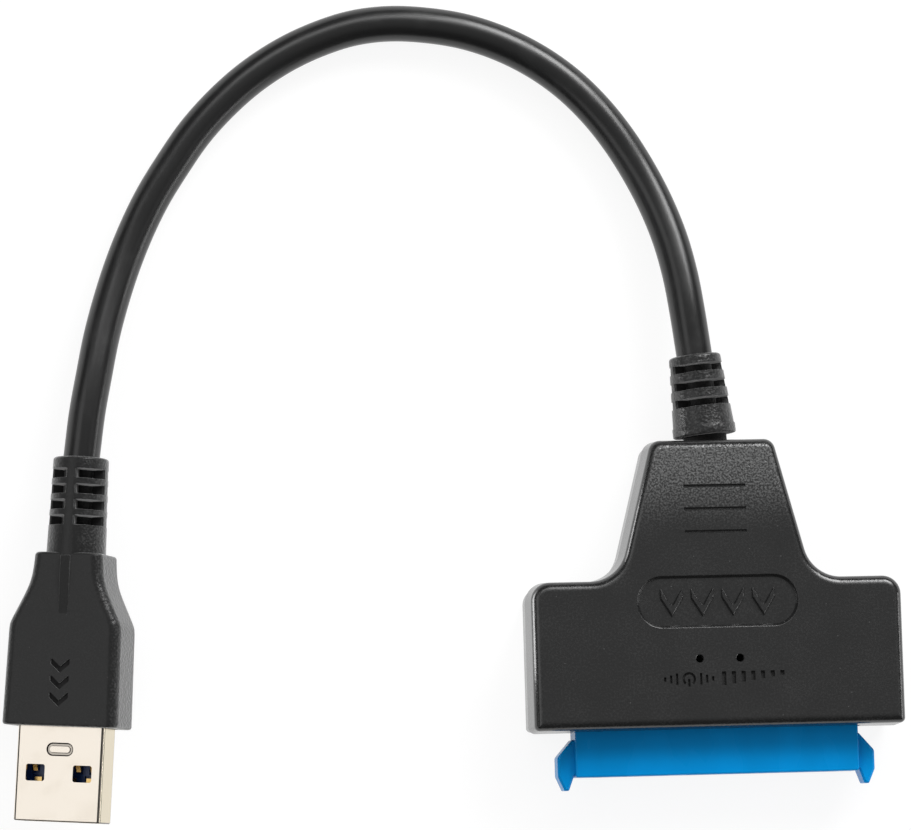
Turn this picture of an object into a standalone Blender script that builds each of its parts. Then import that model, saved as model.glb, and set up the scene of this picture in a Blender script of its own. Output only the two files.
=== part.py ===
"""Drive adapter: a T-shaped housing with a wide drive connector, a short cord and a flat plug.

Metres, +Z up. The drive connector faces -Y and the cord leaves the housing towards +Y.
The origin lies on the resting surface, below the middle of the housing and its connector.
"""
import math

import bmesh
import bpy
from mathutils import Euler, Matrix, Vector

# Fits shared by every piece
FIT = 0.0003                    # gap between two pieces that touch
PARTING_GAP = 0.0002            # gap between the two housing shells
OVERCUT = 0.001                 # how far a cutter runs past the face that it opens
STEP = 0.00002                  # slope given to a square step in a lofted solid

# Housing, seen from above
WING_WIDTH = 0.0500
WING_DEPTH = 0.0200
HOUSING_LENGTH = 0.0385
NECK_END_WIDTH = 0.0167
NECK_ROOT_WIDTH = 0.0263
NECK_CORNER_RADIUS = 0.0018
NECK_FILLET_RADIUS = 0.0048
WING_SHOULDER_RADIUS = 0.0027
WING_FOOT_RADIUS = 0.0009

# Housing, seen from the side
HOUSING_HEIGHT = 0.0122
PARTING_HEIGHT = 0.0061
WALL = 0.0016
LID_THICKNESS = 0.0015
FLOOR_THICKNESS = 0.0015
EDGE_ROUNDING = 0.0013
DRAFT = 0.00022                 # inset of a shell's wall from the parting line to its face
SHELL_STEP = 0.00012            # lower shell stands back from the upper one

# Marks in the upper face
GRIP_LINE_LENGTH = 0.0083
GRIP_LINE_WIDTH = 0.00028
GRIP_LINE_DEPTH = 0.0003
GRIP_LINE_PITCH = 0.00303
GRIP_LINE_FROM_END = 0.0064
GRIP_LINES = 3
FIELD_LENGTH = 0.0214
FIELD_WIDTH = 0.00665
FIELD_DEPTH = 0.0004
FIELD_FROM_FRONT = 0.0168
CHEVRONS = 4                    # raised arrows in the field, pointing at the connector
CHEVRON_PITCH = 0.0041
CHEVRON_WIDTH = 0.0031
CHEVRON_LENGTH = 0.0041
CHEVRON_STROKE = 0.0016         # along the neck
CHEVRON_RISE = 0.0003
INDICATOR_HOLE = 0.0010
INDICATOR_SPACING = 0.0054
INDICATOR_FROM_FRONT = 0.00925

# Drive connector
CONNECTOR_WIDTH = 0.0380
CONNECTOR_HEIGHT = 0.0050
CONNECTOR_LIFT = 0.0030         # underside above the resting surface
CONNECTOR_REACH = 0.0059        # length in front of the housing
CONNECTOR_SEAT = 0.0060         # length inside the housing
CONNECTOR_BEVEL = 0.00025
COLLAR_WIDTH = 0.0420
COLLAR_LENGTH = 0.0020
COLLAR_RISE = 0.0003            # collar height past the body, above and below
ARM_SPREAD = 0.0023             # arm's reach past the side of the body
ARM_REACH = 0.0076              # arm tip in front of the housing
ARM_ROOT = 0.0009
ARM_SHOULDER = 0.0032
ARM_TAPER_START = 0.0057
ARM_TIP_OUT = 0.00087           # inner side of the arm's tip past the side of the body
ARM_TIP_WIDTH = 0.0006
ARM_CORNER_RADIUS = 0.0002
ARM_BULGE_RADIUS = 0.0006
ARM_HEIGHT = 0.0034
ARM_LIFT = 0.0006               # arm's underside above the body's underside

# Contacts of the drive connector
DATA_CONTACTS = 7
POWER_CONTACTS = 15
CONTACT_PITCH = 0.00127
GROUP_STEP = 0.00508            # from the last data contact to the first power contact
CONTACT_WIDTH = 0.0005
CONTACT_THICKNESS = 0.00025
CONTACT_CROWN = 0.0004          # rise of the sprung tip
CONTACT_TAIL = 0.0018           # tail lying over the board
CONTACT_SETBACK = 0.0006        # tip behind the connector's face
SLOT_DEPTH = 0.0055
SLOT_HEIGHT = 0.0019
SLOT_LIFT = 0.0017              # slot floor above the body's underside
SLOT_MARGIN = 0.00125           # from the end contact's middle to the slot's end
KEY_DROP = 0.0009
KEY_WIDTH = 0.0012
PASSAGE_WIDTH = 0.0010
PASSAGE_HEIGHT = 0.00085

# Circuit board and what it carries
BOARD_THICKNESS = 0.0010
BOARD_WIDTH = 0.0366
BOARD_LENGTH = 0.0108
TONGUE_ROOT_WIDTH = 0.0150
TONGUE_END_WIDTH = 0.0104
TONGUE_LENGTH = 0.0090
BOARD_CORNER_RADIUS = 0.0004
COMPONENT_ROW = 0.0071          # middle of the row of components behind the board's front
COMPONENT_EDGE = 0.0001
BRIDGE_CHIP_X = -0.0035
BRIDGE_CHIP_SIZE = (0.0064, 0.0064, 0.0010)
MEMORY_CHIP_X = 0.0045
MEMORY_CHIP_SIZE = (0.0050, 0.0040, 0.0015)
CRYSTAL_X = -0.0115
CRYSTAL_SIZE = (0.0050, 0.0032, 0.0012)
CRYSTAL_EDGE = 0.0003
CAPACITOR_1_X = -0.0160
CAPACITOR_1_SIZE = (0.0016, 0.0032, 0.0016)
CAPACITOR_2_X = 0.0089
CAPACITOR_2_SIZE = (0.0012, 0.0020, 0.0012)
REGULATOR_ON_TONGUE = 0.0027    # middle of the regulator behind the tongue's root
REGULATOR_SIZE = (0.0065, 0.0035, 0.0016)
CHOKE_X = 0.0134
CHOKE_RADIUS = 0.0028
CHOKE_HEIGHT = 0.0030
CHOKE_EDGE = 0.0003
INDICATOR_SIZE = (0.0016, 0.0008, 0.0007)
POST_RADIUS = 0.0012
POST_SPREAD = 0.0150
BOSS_RADIUS = 0.0020
PIN_RADIUS = 0.0008
PIN_END = 0.0032                # lower end of the upper shell's pins above the surface
WING_PIN_FROM_SIDE = 0.0035
WING_PIN_FROM_FRONT = 0.0130
NECK_PIN_FROM_END = 0.0075
NECK_PIN_FROM_SIDE = 0.0029
RIB_THICKNESS = 0.0008
RIB_LENGTH = 0.0330

# Relief on the housing
RELIEF_LENGTH = 0.0108          # outside part, flange included
RELIEF_STANDOFF = 0.0008        # from the housing's end to the flange
RELIEF_BASE_RADIUS = 0.00410
RELIEF_END_RADIUS = 0.00345
RELIEF_FLANGE_RADIUS = 0.00422
RELIEF_FLANGE_LENGTH = 0.0012
RELIEF_NECK_RADIUS = 0.0029
RELIEF_INNER_FLANGE_RADIUS = 0.0041
RELIEF_INNER_FLANGE_LENGTH = 0.0015
RELIEF_CORE_RADIUS = 0.00262
RELIEF_SLOTS = 3
RELIEF_SLOT_PITCH = 0.0023
RELIEF_SLOT_WIDTH = 0.0010
RELIEF_SLOT_FROM_END = 0.0018
RELIEF_SPINE = math.radians(9)
RELIEF_SPINE_TURN = math.radians(-14)
RELIEF_BEND = math.radians(5.6)

# Plug overmould, along its own axis from the front face
BODY_LENGTH = 0.0227
BODY_FRONT_WIDTH = 0.0160
BODY_WAIST_WIDTH = 0.0157
BODY_REAR_WIDTH = 0.0088
BODY_REAR_FLARE = 0.25          # half width gained per length behind the shoulder
BODY_THICKNESS = 0.0078
BODY_EDGE_RADIUS = 0.0014
BODY_END_BEVEL = 0.0004
SHOULDER_START = 0.0120
SHOULDER_END = 0.0176
CABLE_RELIEF_LENGTH = 0.0127
CABLE_RELIEF_BASE_RADIUS = 0.00395
CABLE_RELIEF_END_RADIUS = 0.00365
CABLE_RELIEF_CORE_RADIUS = 0.0027
CABLE_RELIEF_SLOTS = 4
CABLE_RELIEF_SLOT_PITCH = 0.00206
CABLE_RELIEF_SLOT_WIDTH = 0.00117
CABLE_RELIEF_SLOT_FROM_END = 0.0022
CABLE_RELIEF_SPINE = math.radians(11)
RIB_ON_BODY_WIDTH = 0.0013
RIB_ON_BODY_LENGTH = 0.0088
RIB_ON_BODY_RISE = 0.0003
END_ROUNDING = 0.0004

# Plug front
SHELL_WIDTH = 0.0120
SHELL_HEIGHT = 0.0045
SHELL_WALL = 0.00032
SHELL_REACH = 0.0124
SHELL_SEAT = 0.0045
SHELL_CORNER_RADIUS = 0.0004
WINDOW_WIDTH = 0.0026
WINDOW_LENGTH = 0.0022
WINDOW_SPACING = 0.0065
WINDOW_FROM_BODY = 0.0061
STAMP_LENGTH = 0.0037
STAMP_WIDTH = 0.00175
STAMP_BAR_LENGTH = 0.0029
STAMP_BAR_WIDTH = 0.00095
STAMP_DEPTH = 0.00016
STAMP_FROM_BODY = 0.0030
INSULATOR_SETBACK = 0.0007
INSULATOR_TOP = -0.0001         # upper face of the tongue, from the shell's axis
INSULATOR_SEAT = 0.0040
FRONT_STRIPS = 4
FRONT_STRIP_PITCH = 0.0024
FRONT_STRIP_WIDTH = 0.0010
FRONT_STRIP_LENGTH = 0.0045
FRONT_STRIP_SETBACK = 0.0006
REAR_STRIPS = 5
REAR_STRIP_PITCH = 0.0020
REAR_STRIP_WIDTH = 0.0006
REAR_STRIP_LENGTH = 0.0018
REAR_STRIP_SETBACK = 0.0008     # behind the front strips
STRIP_THICKNESS = 0.0002
REAR_STRIP_CROWN = 0.0005
GROOVE_DEPTH = 0.00035
GROOVE_MARGIN = 0.0003
CORE_WIDTH = 0.0102
CORE_HEIGHT = 0.0052
CORE_LENGTH = 0.0084
CORE_BEVEL = 0.0004

# Where the plug lies, from the middle of the housing's front
PLUG_X = -0.08585
PLUG_FROM_FRONT = 0.00245
PLUG_TURN = math.radians(-4.2)
PLUG_ROLL = math.radians(-21.5)
PLUG_CLEARANCE = 0.00003

# Cord
CORD_DIAMETER = 0.0048
CORD_POINTS = 40
CORD_LIFT = 0.00245             # axis height where it lies on the surface
WIRE_DIAMETER = 0.0006
WIRE_COUNT = 8
WIRE_RING_RADIUS = 0.0016
WIRE_PAD_PITCH = 0.0012
WIRE_POINTS = 9

# Cord route from the plug to the housing, from the middle of the housing's front
CORD_ROUTE = [
    (-0.0824, 0.0436, 0.00600), (-0.0814, 0.0486, 0.00540), (-0.0803, 0.0537, 0.00450),
    (-0.0789, 0.0587, 0.00360), (-0.0772, 0.0637, 0.00284), (-0.0752, 0.0685, CORD_LIFT),
    (-0.0729, 0.0730, CORD_LIFT), (-0.0701, 0.0774, CORD_LIFT), (-0.0671, 0.0816, CORD_LIFT),
    (-0.0636, 0.0854, CORD_LIFT), (-0.0597, 0.0888, CORD_LIFT), (-0.0553, 0.0917, CORD_LIFT),
    (-0.0507, 0.0939, CORD_LIFT), (-0.0457, 0.0955, CORD_LIFT), (-0.0406, 0.0961, CORD_LIFT),
    (-0.0353, 0.0958, CORD_LIFT), (-0.0303, 0.0949, CORD_LIFT), (-0.0254, 0.0932, CORD_LIFT),
    (-0.0208, 0.0908, CORD_LIFT), (-0.0167, 0.0878, CORD_LIFT), (-0.0131, 0.0842, CORD_LIFT),
    (-0.0101, 0.0803, CORD_LIFT), (-0.0075, 0.0760, 0.00257), (-0.0053, 0.0713, 0.00317),
    (-0.0036, 0.0663, 0.00408), (-0.0025, 0.0612, 0.00504), (-0.0018, 0.0560, 0.00579),
]

# Places worked out from the sizes above
FRONT_Y = (ARM_REACH - HOUSING_LENGTH) / 2
CONNECTOR_TOP = CONNECTOR_LIFT + CONNECTOR_HEIGHT
SLOT_FLOOR = CONNECTOR_LIFT + SLOT_LIFT
CONTACT_BASE = SLOT_FLOOR + FIT
BOARD_TOP = CONTACT_BASE - FIT
BOARD_BASE = BOARD_TOP - BOARD_THICKNESS
BOARD_FRONT = CONNECTOR_SEAT + FIT
PART_SEAT = BOARD_TOP + FIT
CAVITY_TOP = HOUSING_HEIGHT - LID_THICKNESS
RELIEF_BASE = HOUSING_LENGTH + RELIEF_STANDOFF
RELIEF_END = RELIEF_BASE + RELIEF_LENGTH
INNER_FLANGE_END = HOUSING_LENGTH - WALL - FIT
INNER_FLANGE_START = INNER_FLANGE_END - RELIEF_INNER_FLANGE_LENGTH
PLUG_END = BODY_LENGTH + CABLE_RELIEF_LENGTH


def clear_scene():
    """Remove every object of the scene."""
    for item in list(bpy.data.objects):
        bpy.data.objects.remove(item, do_unlink=True)


def collection(name):
    """Make a collection in the scene."""
    group = bpy.data.collections.new(name)
    bpy.context.scene.collection.children.link(group)
    return group


def finish(name, colour, roughness, metallic=0.0):
    """Make a Principled material."""
    made = bpy.data.materials.new(name)
    made.use_nodes = True
    shader = made.node_tree.nodes["Principled BSDF"]
    shader.inputs["Base Color"].default_value = (*colour, 1.0)
    shader.inputs["Roughness"].default_value = roughness
    shader.inputs["Metallic"].default_value = metallic
    return made


clear_scene()
PARTS = collection("drive_adapter")
CUTTERS = collection("cutters")
HOUSING_BLACK = finish("housing_black", (0.030, 0.030, 0.032), 0.45)
RELIEF_BLACK = finish("relief_black", (0.035, 0.035, 0.037), 0.55)
CORD_BLACK = finish("cord_black", (0.028, 0.028, 0.030), 0.38)
CONNECTOR_BLUE = finish("connector_blue", (0.0, 0.13, 0.42), 0.32)
INSULATOR_BLUE = finish("insulator_blue", (0.0, 0.05, 0.25), 0.35)
SHELL_NICKEL = finish("shell_nickel", (0.86, 0.82, 0.76), 0.22, 1.0)
CONTACT_GOLD = finish("contact_gold", (0.85, 0.62, 0.25), 0.25, 1.0)
BOARD_GREEN = finish("board_green", (0.01, 0.14, 0.06), 0.4)
CHIP_BLACK = finish("chip_black", (0.02, 0.02, 0.02), 0.5)
CAN_METAL = finish("can_metal", (0.7, 0.7, 0.7), 0.3, 1.0)
CERAMIC_TAN = finish("ceramic_tan", (0.45, 0.3, 0.16), 0.5)
LENS_CLEAR = finish("lens_clear", (0.75, 0.8, 0.85), 0.2)
WIRE_FINISHES = [
    finish("wire_" + name, colour, 0.45)
    for name, colour in (
        ("red", (0.6, 0.02, 0.02)), ("black", (0.02, 0.02, 0.02)),
        ("green", (0.02, 0.35, 0.05)), ("white", (0.8, 0.8, 0.8)),
        ("blue", (0.02, 0.08, 0.5)), ("yellow", (0.75, 0.6, 0.02)),
        ("violet", (0.3, 0.05, 0.4)), ("orange", (0.8, 0.25, 0.02)),
    )
]


def frame(name, location, rotation=(0.0, 0.0, 0.0)):
    """Make an empty that carries pieces."""
    empty = bpy.data.objects.new(name, None)
    empty.location = location
    empty.rotation_euler = rotation
    PARTS.objects.link(empty)
    return empty


def plug_height():
    """Height of the plug's axis when its rounded body lies rolled on the surface."""
    half_width = BODY_FRONT_WIDTH / 2 - BODY_EDGE_RADIUS
    half_thickness = BODY_THICKNESS / 2 - BODY_EDGE_RADIUS
    reach = half_width * math.sin(abs(PLUG_ROLL)) + half_thickness * math.cos(PLUG_ROLL)
    return reach + BODY_EDGE_RADIUS + PLUG_CLEARANCE


HOUSING_FRAME = frame("housing_frame", (0.0, FRONT_Y, 0.0))
PLUG_FRAME = frame(
    "plug_frame",
    (PLUG_X, FRONT_Y + PLUG_FROM_FRONT, plug_height()),
    (Matrix.Rotation(PLUG_TURN, 3, "Z") @ Matrix.Rotation(PLUG_ROLL, 3, "Y")).to_euler(),
)


def piece(name, mesh, material, carrier):
    """Make a part of the object from a mesh."""
    mesh.materials.clear()
    mesh.materials.append(material)
    made = bpy.data.objects.new(name, mesh)
    made.parent = carrier
    PARTS.objects.link(made)
    return made


def cutter(name, mesh, carrier):
    """Make a hidden tool that a Boolean uses."""
    made = bpy.data.objects.new(name, mesh)
    made.parent = carrier
    made.hide_render = True
    made.display_type = "WIRE"
    CUTTERS.objects.link(made)
    return made


def to_mesh(name, shape):
    """Turn a bmesh into a mesh with its faces pointing out."""
    bmesh.ops.recalc_face_normals(shape, faces=shape.faces)
    mesh = bpy.data.meshes.new(name)
    shape.to_mesh(mesh)
    shape.free()
    return mesh


def smooth(target, angle=math.radians(35)):
    """Shade a round piece smooth and keep its sharp edges."""
    target.data.shade_smooth()
    target.data.set_sharp_from_angle(angle=angle)


def boolean(target, tool, operation):
    """Add a Boolean modifier."""
    modifier = target.modifiers.new(operation.lower() + "_" + tool.name, "BOOLEAN")
    modifier.object = tool
    modifier.operation = operation


def bevel(target, width, segments=2):
    """Round the edges of a piece that meet at more than 40 degrees."""
    modifier = target.modifiers.new("rounded_edges", "BEVEL")
    modifier.width = width
    modifier.segments = segments
    modifier.limit_method = "ANGLE"
    modifier.angle_limit = math.radians(40)


def offset_corner(before, corner, after, inset):
    """Move a corner of an anticlockwise outline inwards by an inset from both its sides."""
    arriving = (corner - before).normalized()
    leaving = (after - corner).normalized()
    inward = Vector((-arriving.y, arriving.x)) + Vector((-leaving.y, leaving.x))
    spread = 1.0 + arriving.dot(leaving)
    return corner + inward * (inset / spread)


def outline(corners, inset=0.0, steps=5):
    """Points of an anticlockwise outline whose corners (x, y, radius) are arcs."""
    places = [Vector(corner[:2]) for corner in corners]
    count = len(places)
    moved = [
        offset_corner(places[i - 1], places[i], places[(i + 1) % count], inset)
        for i in range(count)
    ]
    points = []
    for i, corner in enumerate(moved):
        arriving = (corner - moved[i - 1]).normalized()
        leaving = (moved[(i + 1) % count] - corner).normalized()
        turn = arriving.x * leaving.y - arriving.y * leaving.x
        side = 1.0 if turn > 0 else -1.0
        radius = max(corners[i][2] - side * inset, 0.0002)
        angle = math.acos(max(-1.0, min(1.0, arriving.dot(leaving))))
        reach = radius * math.tan(angle / 2)
        start = corner - arriving * reach
        centre = start + Vector((-arriving.y, arriving.x)) * radius * side
        arm = start - centre
        for step in range(steps + 1):
            turned = Matrix.Rotation(side * angle * step / steps, 2)
            points.append(centre + turned @ arm)
    return points


def loft(name, rings):
    """Close a skin over rings of equally many points, each ring a list of 3D points."""
    shape = bmesh.new()
    rows = [[shape.verts.new(point) for point in ring] for ring in rings]
    count = len(rows[0])
    for lower, upper in zip(rows, rows[1:]):
        for i in range(count):
            j = (i + 1) % count
            shape.faces.new((lower[i], lower[j], upper[j], upper[i]))
    shape.faces.new(list(reversed(rows[0])))
    shape.faces.new(rows[-1])
    return to_mesh(name, shape)


def upright(points, height):
    """Lay an outline flat at a height."""
    return [Vector((point.x, point.y, height)) for point in points]


def across(points, station):
    """Stand an outline up across the Y axis at a station along it."""
    return [Vector((point.x, station, point.y)) for point in points]


def prism(name, corners, low, high):
    """Upright solid on an outline."""
    return loft(name, [upright(outline(corners), low), upright(outline(corners), high)])


def rectangle(width, length, radius, centre=(0.0, 0.0)):
    """Corners of a rounded rectangle."""
    x, y = centre
    half_width = width / 2
    half_length = length / 2
    return [
        (x - half_width, y - half_length, radius),
        (x + half_width, y - half_length, radius),
        (x + half_width, y + half_length, radius),
        (x - half_width, y + half_length, radius),
    ]


def boxes(name, ranges):
    """Separate boxes in one mesh, each given as its lowest and highest corner."""
    shape = bmesh.new()
    for low, high in ranges:
        size = [b - a for a, b in zip(low, high)]
        middle = [(a + b) / 2 for a, b in zip(low, high)]
        place = Matrix.Translation(middle) @ Matrix.Diagonal((*size, 1.0))
        bmesh.ops.create_cube(shape, size=1.0, matrix=place)
    return to_mesh(name, shape)


def cylinders(name, rods, axis="Z", sides=20):
    """Separate cylinders in one mesh, each given as two coordinates, radius and its two ends."""
    turn = {"Z": Matrix.Identity(4), "Y": Matrix.Rotation(math.pi / 2, 4, "X")}[axis]
    shape = bmesh.new()
    for first, second, radius, low, high in rods:
        middle = (low + high) / 2
        place = (first, second, middle) if axis == "Z" else (first, middle, second)
        bmesh.ops.create_cone(
            shape,
            cap_ends=True,
            segments=sides,
            radius1=radius,
            radius2=radius,
            depth=high - low,
            matrix=Matrix.Translation(place) @ turn,
        )
    return to_mesh(name, shape)


def housing_corners():
    """Corners of the T-shaped housing, anticlockwise from the front left."""
    half_wing = WING_WIDTH / 2
    half_root = NECK_ROOT_WIDTH / 2
    half_end = NECK_END_WIDTH / 2
    return [
        (-half_wing, 0.0, WING_FOOT_RADIUS),
        (half_wing, 0.0, WING_FOOT_RADIUS),
        (half_wing, WING_DEPTH, WING_SHOULDER_RADIUS),
        (half_root, WING_DEPTH, NECK_FILLET_RADIUS),
        (half_end, HOUSING_LENGTH, NECK_CORNER_RADIUS),
        (-half_end, HOUSING_LENGTH, NECK_CORNER_RADIUS),
        (-half_root, WING_DEPTH, NECK_FILLET_RADIUS),
        (-half_wing, WING_DEPTH, WING_SHOULDER_RADIUS),
    ]


def shell_skin(name, seam, face, step=0.0, rounding_steps=4):
    """Outer form of a shell from the seam to its face, with draft and a rounded edge."""
    way = 1.0 if face > seam else -1.0
    corners = housing_corners()
    rings = [upright(outline(corners, step), seam)]
    for i in range(rounding_steps + 1):
        angle = math.pi / 2 * i / rounding_steps
        inset = step + DRAFT + EDGE_ROUNDING * (1 - math.cos(angle))
        height = face - way * EDGE_ROUNDING * (1 - math.sin(angle))
        rings.append(upright(outline(corners, inset), height))
    return loft(name, rings)


def cavity(name, low, high):
    """Inner space of a shell."""
    corners = housing_corners()
    inset = WALL + SHELL_STEP
    return loft(name, [upright(outline(corners, inset), low), upright(outline(corners, inset), high)])


def neck_half_width(station):
    """Half width of the neck's outer face at a station from the front."""
    share = (station - WING_DEPTH) / (HOUSING_LENGTH - WING_DEPTH)
    return (NECK_ROOT_WIDTH + (NECK_END_WIDTH - NECK_ROOT_WIDTH) * share) / 2


def pin_places():
    """Where the upper shell's pins enter the lower shell's bosses."""
    wing_x = WING_WIDTH / 2 - WING_PIN_FROM_SIDE
    neck_y = HOUSING_LENGTH - NECK_PIN_FROM_END
    neck_x = neck_half_width(neck_y) - NECK_PIN_FROM_SIDE
    return [
        (side * x, y)
        for x, y in ((wing_x, WING_PIN_FROM_FRONT), (neck_x, neck_y))
        for side in (-1, 1)
    ]


def connector_opening(name):
    """Opening in the front walls that the connector passes through."""
    half = CONNECTOR_WIDTH / 2 + FIT
    return boxes(name, [(
        (-half, -OVERCUT, CONNECTOR_LIFT - FIT),
        (half, WALL + SHELL_STEP + OVERCUT / 2, CONNECTOR_TOP + FIT),
    )])


def relief_opening(name):
    """Round hole in the end walls that the relief's neck passes through."""
    low = HOUSING_LENGTH - WALL - SHELL_STEP - OVERCUT / 2
    high = HOUSING_LENGTH + OVERCUT
    rod = (0.0, PARTING_HEIGHT, RELIEF_NECK_RADIUS + FIT, low, high)
    return cylinders(name, [rod], "Y", 24)


def rib_range(low, high):
    """Box of a rib across the connector's rear part."""
    start = COLLAR_LENGTH + WALL + SHELL_STEP + 3 * FIT
    return ((-RIB_LENGTH / 2, start, low), (RIB_LENGTH / 2, start + RIB_THICKNESS, high))


def chevron(x, y):
    """Outline of an arrow head that points at the connector, around a middle."""
    half = CHEVRON_WIDTH / 2
    front = y - CHEVRON_LENGTH / 2
    back = y + CHEVRON_LENGTH / 2
    return [
        Vector(point) for point in (
            (x - half, back - CHEVRON_STROKE), (x, front), (x + half, back - CHEVRON_STROKE),
            (x + half, back), (x, front + CHEVRON_STROKE), (x - half, back),
        )
    ]


def field_cutter():
    """Capsule-shaped field with raised chevrons left standing in it."""
    centre = (0.0, FIELD_FROM_FRONT)
    corners = rectangle(FIELD_LENGTH, FIELD_WIDTH, FIELD_WIDTH / 2 - STEP, centre)
    tool = cutter(
        "field",
        prism("field", corners, HOUSING_HEIGHT - FIELD_DEPTH, HOUSING_HEIGHT + OVERCUT),
        HOUSING_FRAME,
    )
    low = HOUSING_HEIGHT - FIELD_DEPTH - OVERCUT
    high = HOUSING_HEIGHT - FIELD_DEPTH + CHEVRON_RISE
    for i in range(CHEVRONS):
        points = chevron((i - (CHEVRONS - 1) / 2) * CHEVRON_PITCH, FIELD_FROM_FRONT)
        name = "chevron_%d" % (i + 1)
        island = cutter(name, loft(name, [upright(points, low), upright(points, high)]),
                        HOUSING_FRAME)
        boolean(tool, island, "DIFFERENCE")
    return tool


def grip_lines():
    """Three fine lines across the neck."""
    ranges = []
    for i in range(GRIP_LINES):
        y = HOUSING_LENGTH - GRIP_LINE_FROM_END - i * GRIP_LINE_PITCH
        ranges.append((
            (-GRIP_LINE_LENGTH / 2, y - GRIP_LINE_WIDTH / 2, HOUSING_HEIGHT - GRIP_LINE_DEPTH),
            (GRIP_LINE_LENGTH / 2, y + GRIP_LINE_WIDTH / 2, HOUSING_HEIGHT + OVERCUT),
        ))
    return boxes("grip_lines", ranges)


def top_housing():
    """Upper shell with its marks, indicator holes, pins and hold-down rib."""
    seam = PARTING_HEIGHT + PARTING_GAP / 2
    made = piece("top_housing", shell_skin("top_housing", seam, HOUSING_HEIGHT), HOUSING_BLACK,
                 HOUSING_FRAME)
    hollow = cutter("top_cavity", cavity("top_cavity", seam - OVERCUT, CAVITY_TOP), HOUSING_FRAME)
    boolean(made, hollow, "DIFFERENCE")
    root = CAVITY_TOP + LID_THICKNESS / 3
    pins = cylinders("top_pins", [(x, y, PIN_RADIUS, PIN_END, root) for x, y in pin_places()])
    boolean(made, cutter("top_pins", pins, HOUSING_FRAME), "UNION")
    rib = boxes("top_rib", [rib_range(CONNECTOR_TOP + FIT, root)])
    boolean(made, cutter("top_rib", rib, HOUSING_FRAME), "UNION")
    boolean(made, cutter("top_front", connector_opening("top_front"), HOUSING_FRAME), "DIFFERENCE")
    boolean(made, cutter("top_end", relief_opening("top_end"), HOUSING_FRAME), "DIFFERENCE")
    boolean(made, field_cutter(), "DIFFERENCE")
    boolean(made, cutter("grip_lines", grip_lines(), HOUSING_FRAME), "DIFFERENCE")
    holes = cylinders("indicator_holes", [
        (side * INDICATOR_SPACING / 2, INDICATOR_FROM_FRONT, INDICATOR_HOLE / 2,
         CAVITY_TOP - OVERCUT, HOUSING_HEIGHT + OVERCUT)
        for side in (-1, 1)
    ], sides=16)
    boolean(made, cutter("indicator_holes", holes, HOUSING_FRAME), "DIFFERENCE")
    smooth(made)


def bottom_housing():
    """Lower shell with its bosses, board posts and connector rib."""
    seam = PARTING_HEIGHT - PARTING_GAP / 2
    skin = shell_skin("bottom_housing", seam, 0.0, SHELL_STEP)
    made = piece("bottom_housing", skin, HOUSING_BLACK, HOUSING_FRAME)
    space = cavity("bottom_cavity", FLOOR_THICKNESS, seam + OVERCUT)
    boolean(made, cutter("bottom_cavity", space, HOUSING_FRAME), "DIFFERENCE")
    root = FLOOR_THICKNESS * 2 / 3
    bosses = [(x, y, BOSS_RADIUS, root, seam - FIT) for x, y in pin_places()]
    boolean(made, cutter("bosses", cylinders("bosses", bosses), HOUSING_FRAME), "UNION")
    posts = [
        (x, y, POST_RADIUS, root, BOARD_BASE - FIT)
        for x, y in (
            (-POST_SPREAD, BOARD_FRONT + BOARD_LENGTH / 2),
            (POST_SPREAD, BOARD_FRONT + BOARD_LENGTH / 2),
            (0.0, BOARD_FRONT + BOARD_LENGTH + TONGUE_LENGTH / 2),
        )
    ]
    boolean(made, cutter("posts", cylinders("posts", posts), HOUSING_FRAME), "UNION")
    rib = boxes("bottom_rib", [rib_range(root, CONNECTOR_LIFT - FIT)])
    boolean(made, cutter("bottom_rib", rib, HOUSING_FRAME), "UNION")
    sockets = [(x, y, PIN_RADIUS + FIT, PIN_END - FIT, seam + OVERCUT) for x, y in pin_places()]
    boolean(made, cutter("sockets", cylinders("sockets", sockets), HOUSING_FRAME), "DIFFERENCE")
    front = connector_opening("bottom_front")
    boolean(made, cutter("bottom_front", front, HOUSING_FRAME), "DIFFERENCE")
    boolean(made, cutter("bottom_end", relief_opening("bottom_end"), HOUSING_FRAME), "DIFFERENCE")
    smooth(made)


def contact_places():
    """Middle of each drive contact along X, as a data list and a power list."""
    data_span = (DATA_CONTACTS - 1) * CONTACT_PITCH
    power_span = (POWER_CONTACTS - 1) * CONTACT_PITCH
    start = -(data_span + GROUP_STEP + power_span) / 2
    data = [start + i * CONTACT_PITCH for i in range(DATA_CONTACTS)]
    power = [start + data_span + GROUP_STEP + i * CONTACT_PITCH for i in range(POWER_CONTACTS)]
    return data, power


def arm_corners(side):
    """Outline of one guide arm beside the connector body."""
    inner = CONNECTOR_WIDTH / 2
    outer = inner + ARM_SPREAD
    root = inner - ARM_SPREAD / 4
    tip = inner + ARM_TIP_OUT
    small = ARM_CORNER_RADIUS
    points = [
        (root, -ARM_ROOT, small),
        (root, -ARM_TAPER_START, small),
        (inner + FIT / 2, -ARM_TAPER_START, small),
        (tip, -ARM_REACH, small),
        (tip + ARM_TIP_WIDTH, -ARM_REACH, small),
        (outer, -ARM_TAPER_START, ARM_BULGE_RADIUS),
        (outer, -ARM_SHOULDER, ARM_BULGE_RADIUS),
        (inner + FIT, -ARM_ROOT, small),
    ]
    if side > 0:
        return points
    return [(-x, y, radius) for x, y, radius in reversed(points)]


def slot_ranges(places):
    """Slot over a row of contacts, and the key that drops at its first end."""
    face = -CONNECTOR_REACH - OVERCUT
    back = -CONNECTOR_REACH + SLOT_DEPTH
    low = places[0] - SLOT_MARGIN
    high = places[-1] + SLOT_MARGIN
    slot = ((low, face, SLOT_FLOOR), (high, back, SLOT_FLOOR + SLOT_HEIGHT))
    key = (
        (low, face, SLOT_FLOOR - KEY_DROP),
        (low + KEY_WIDTH, back - STEP, SLOT_FLOOR + SLOT_HEIGHT / 2),
    )
    return slot, key


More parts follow.
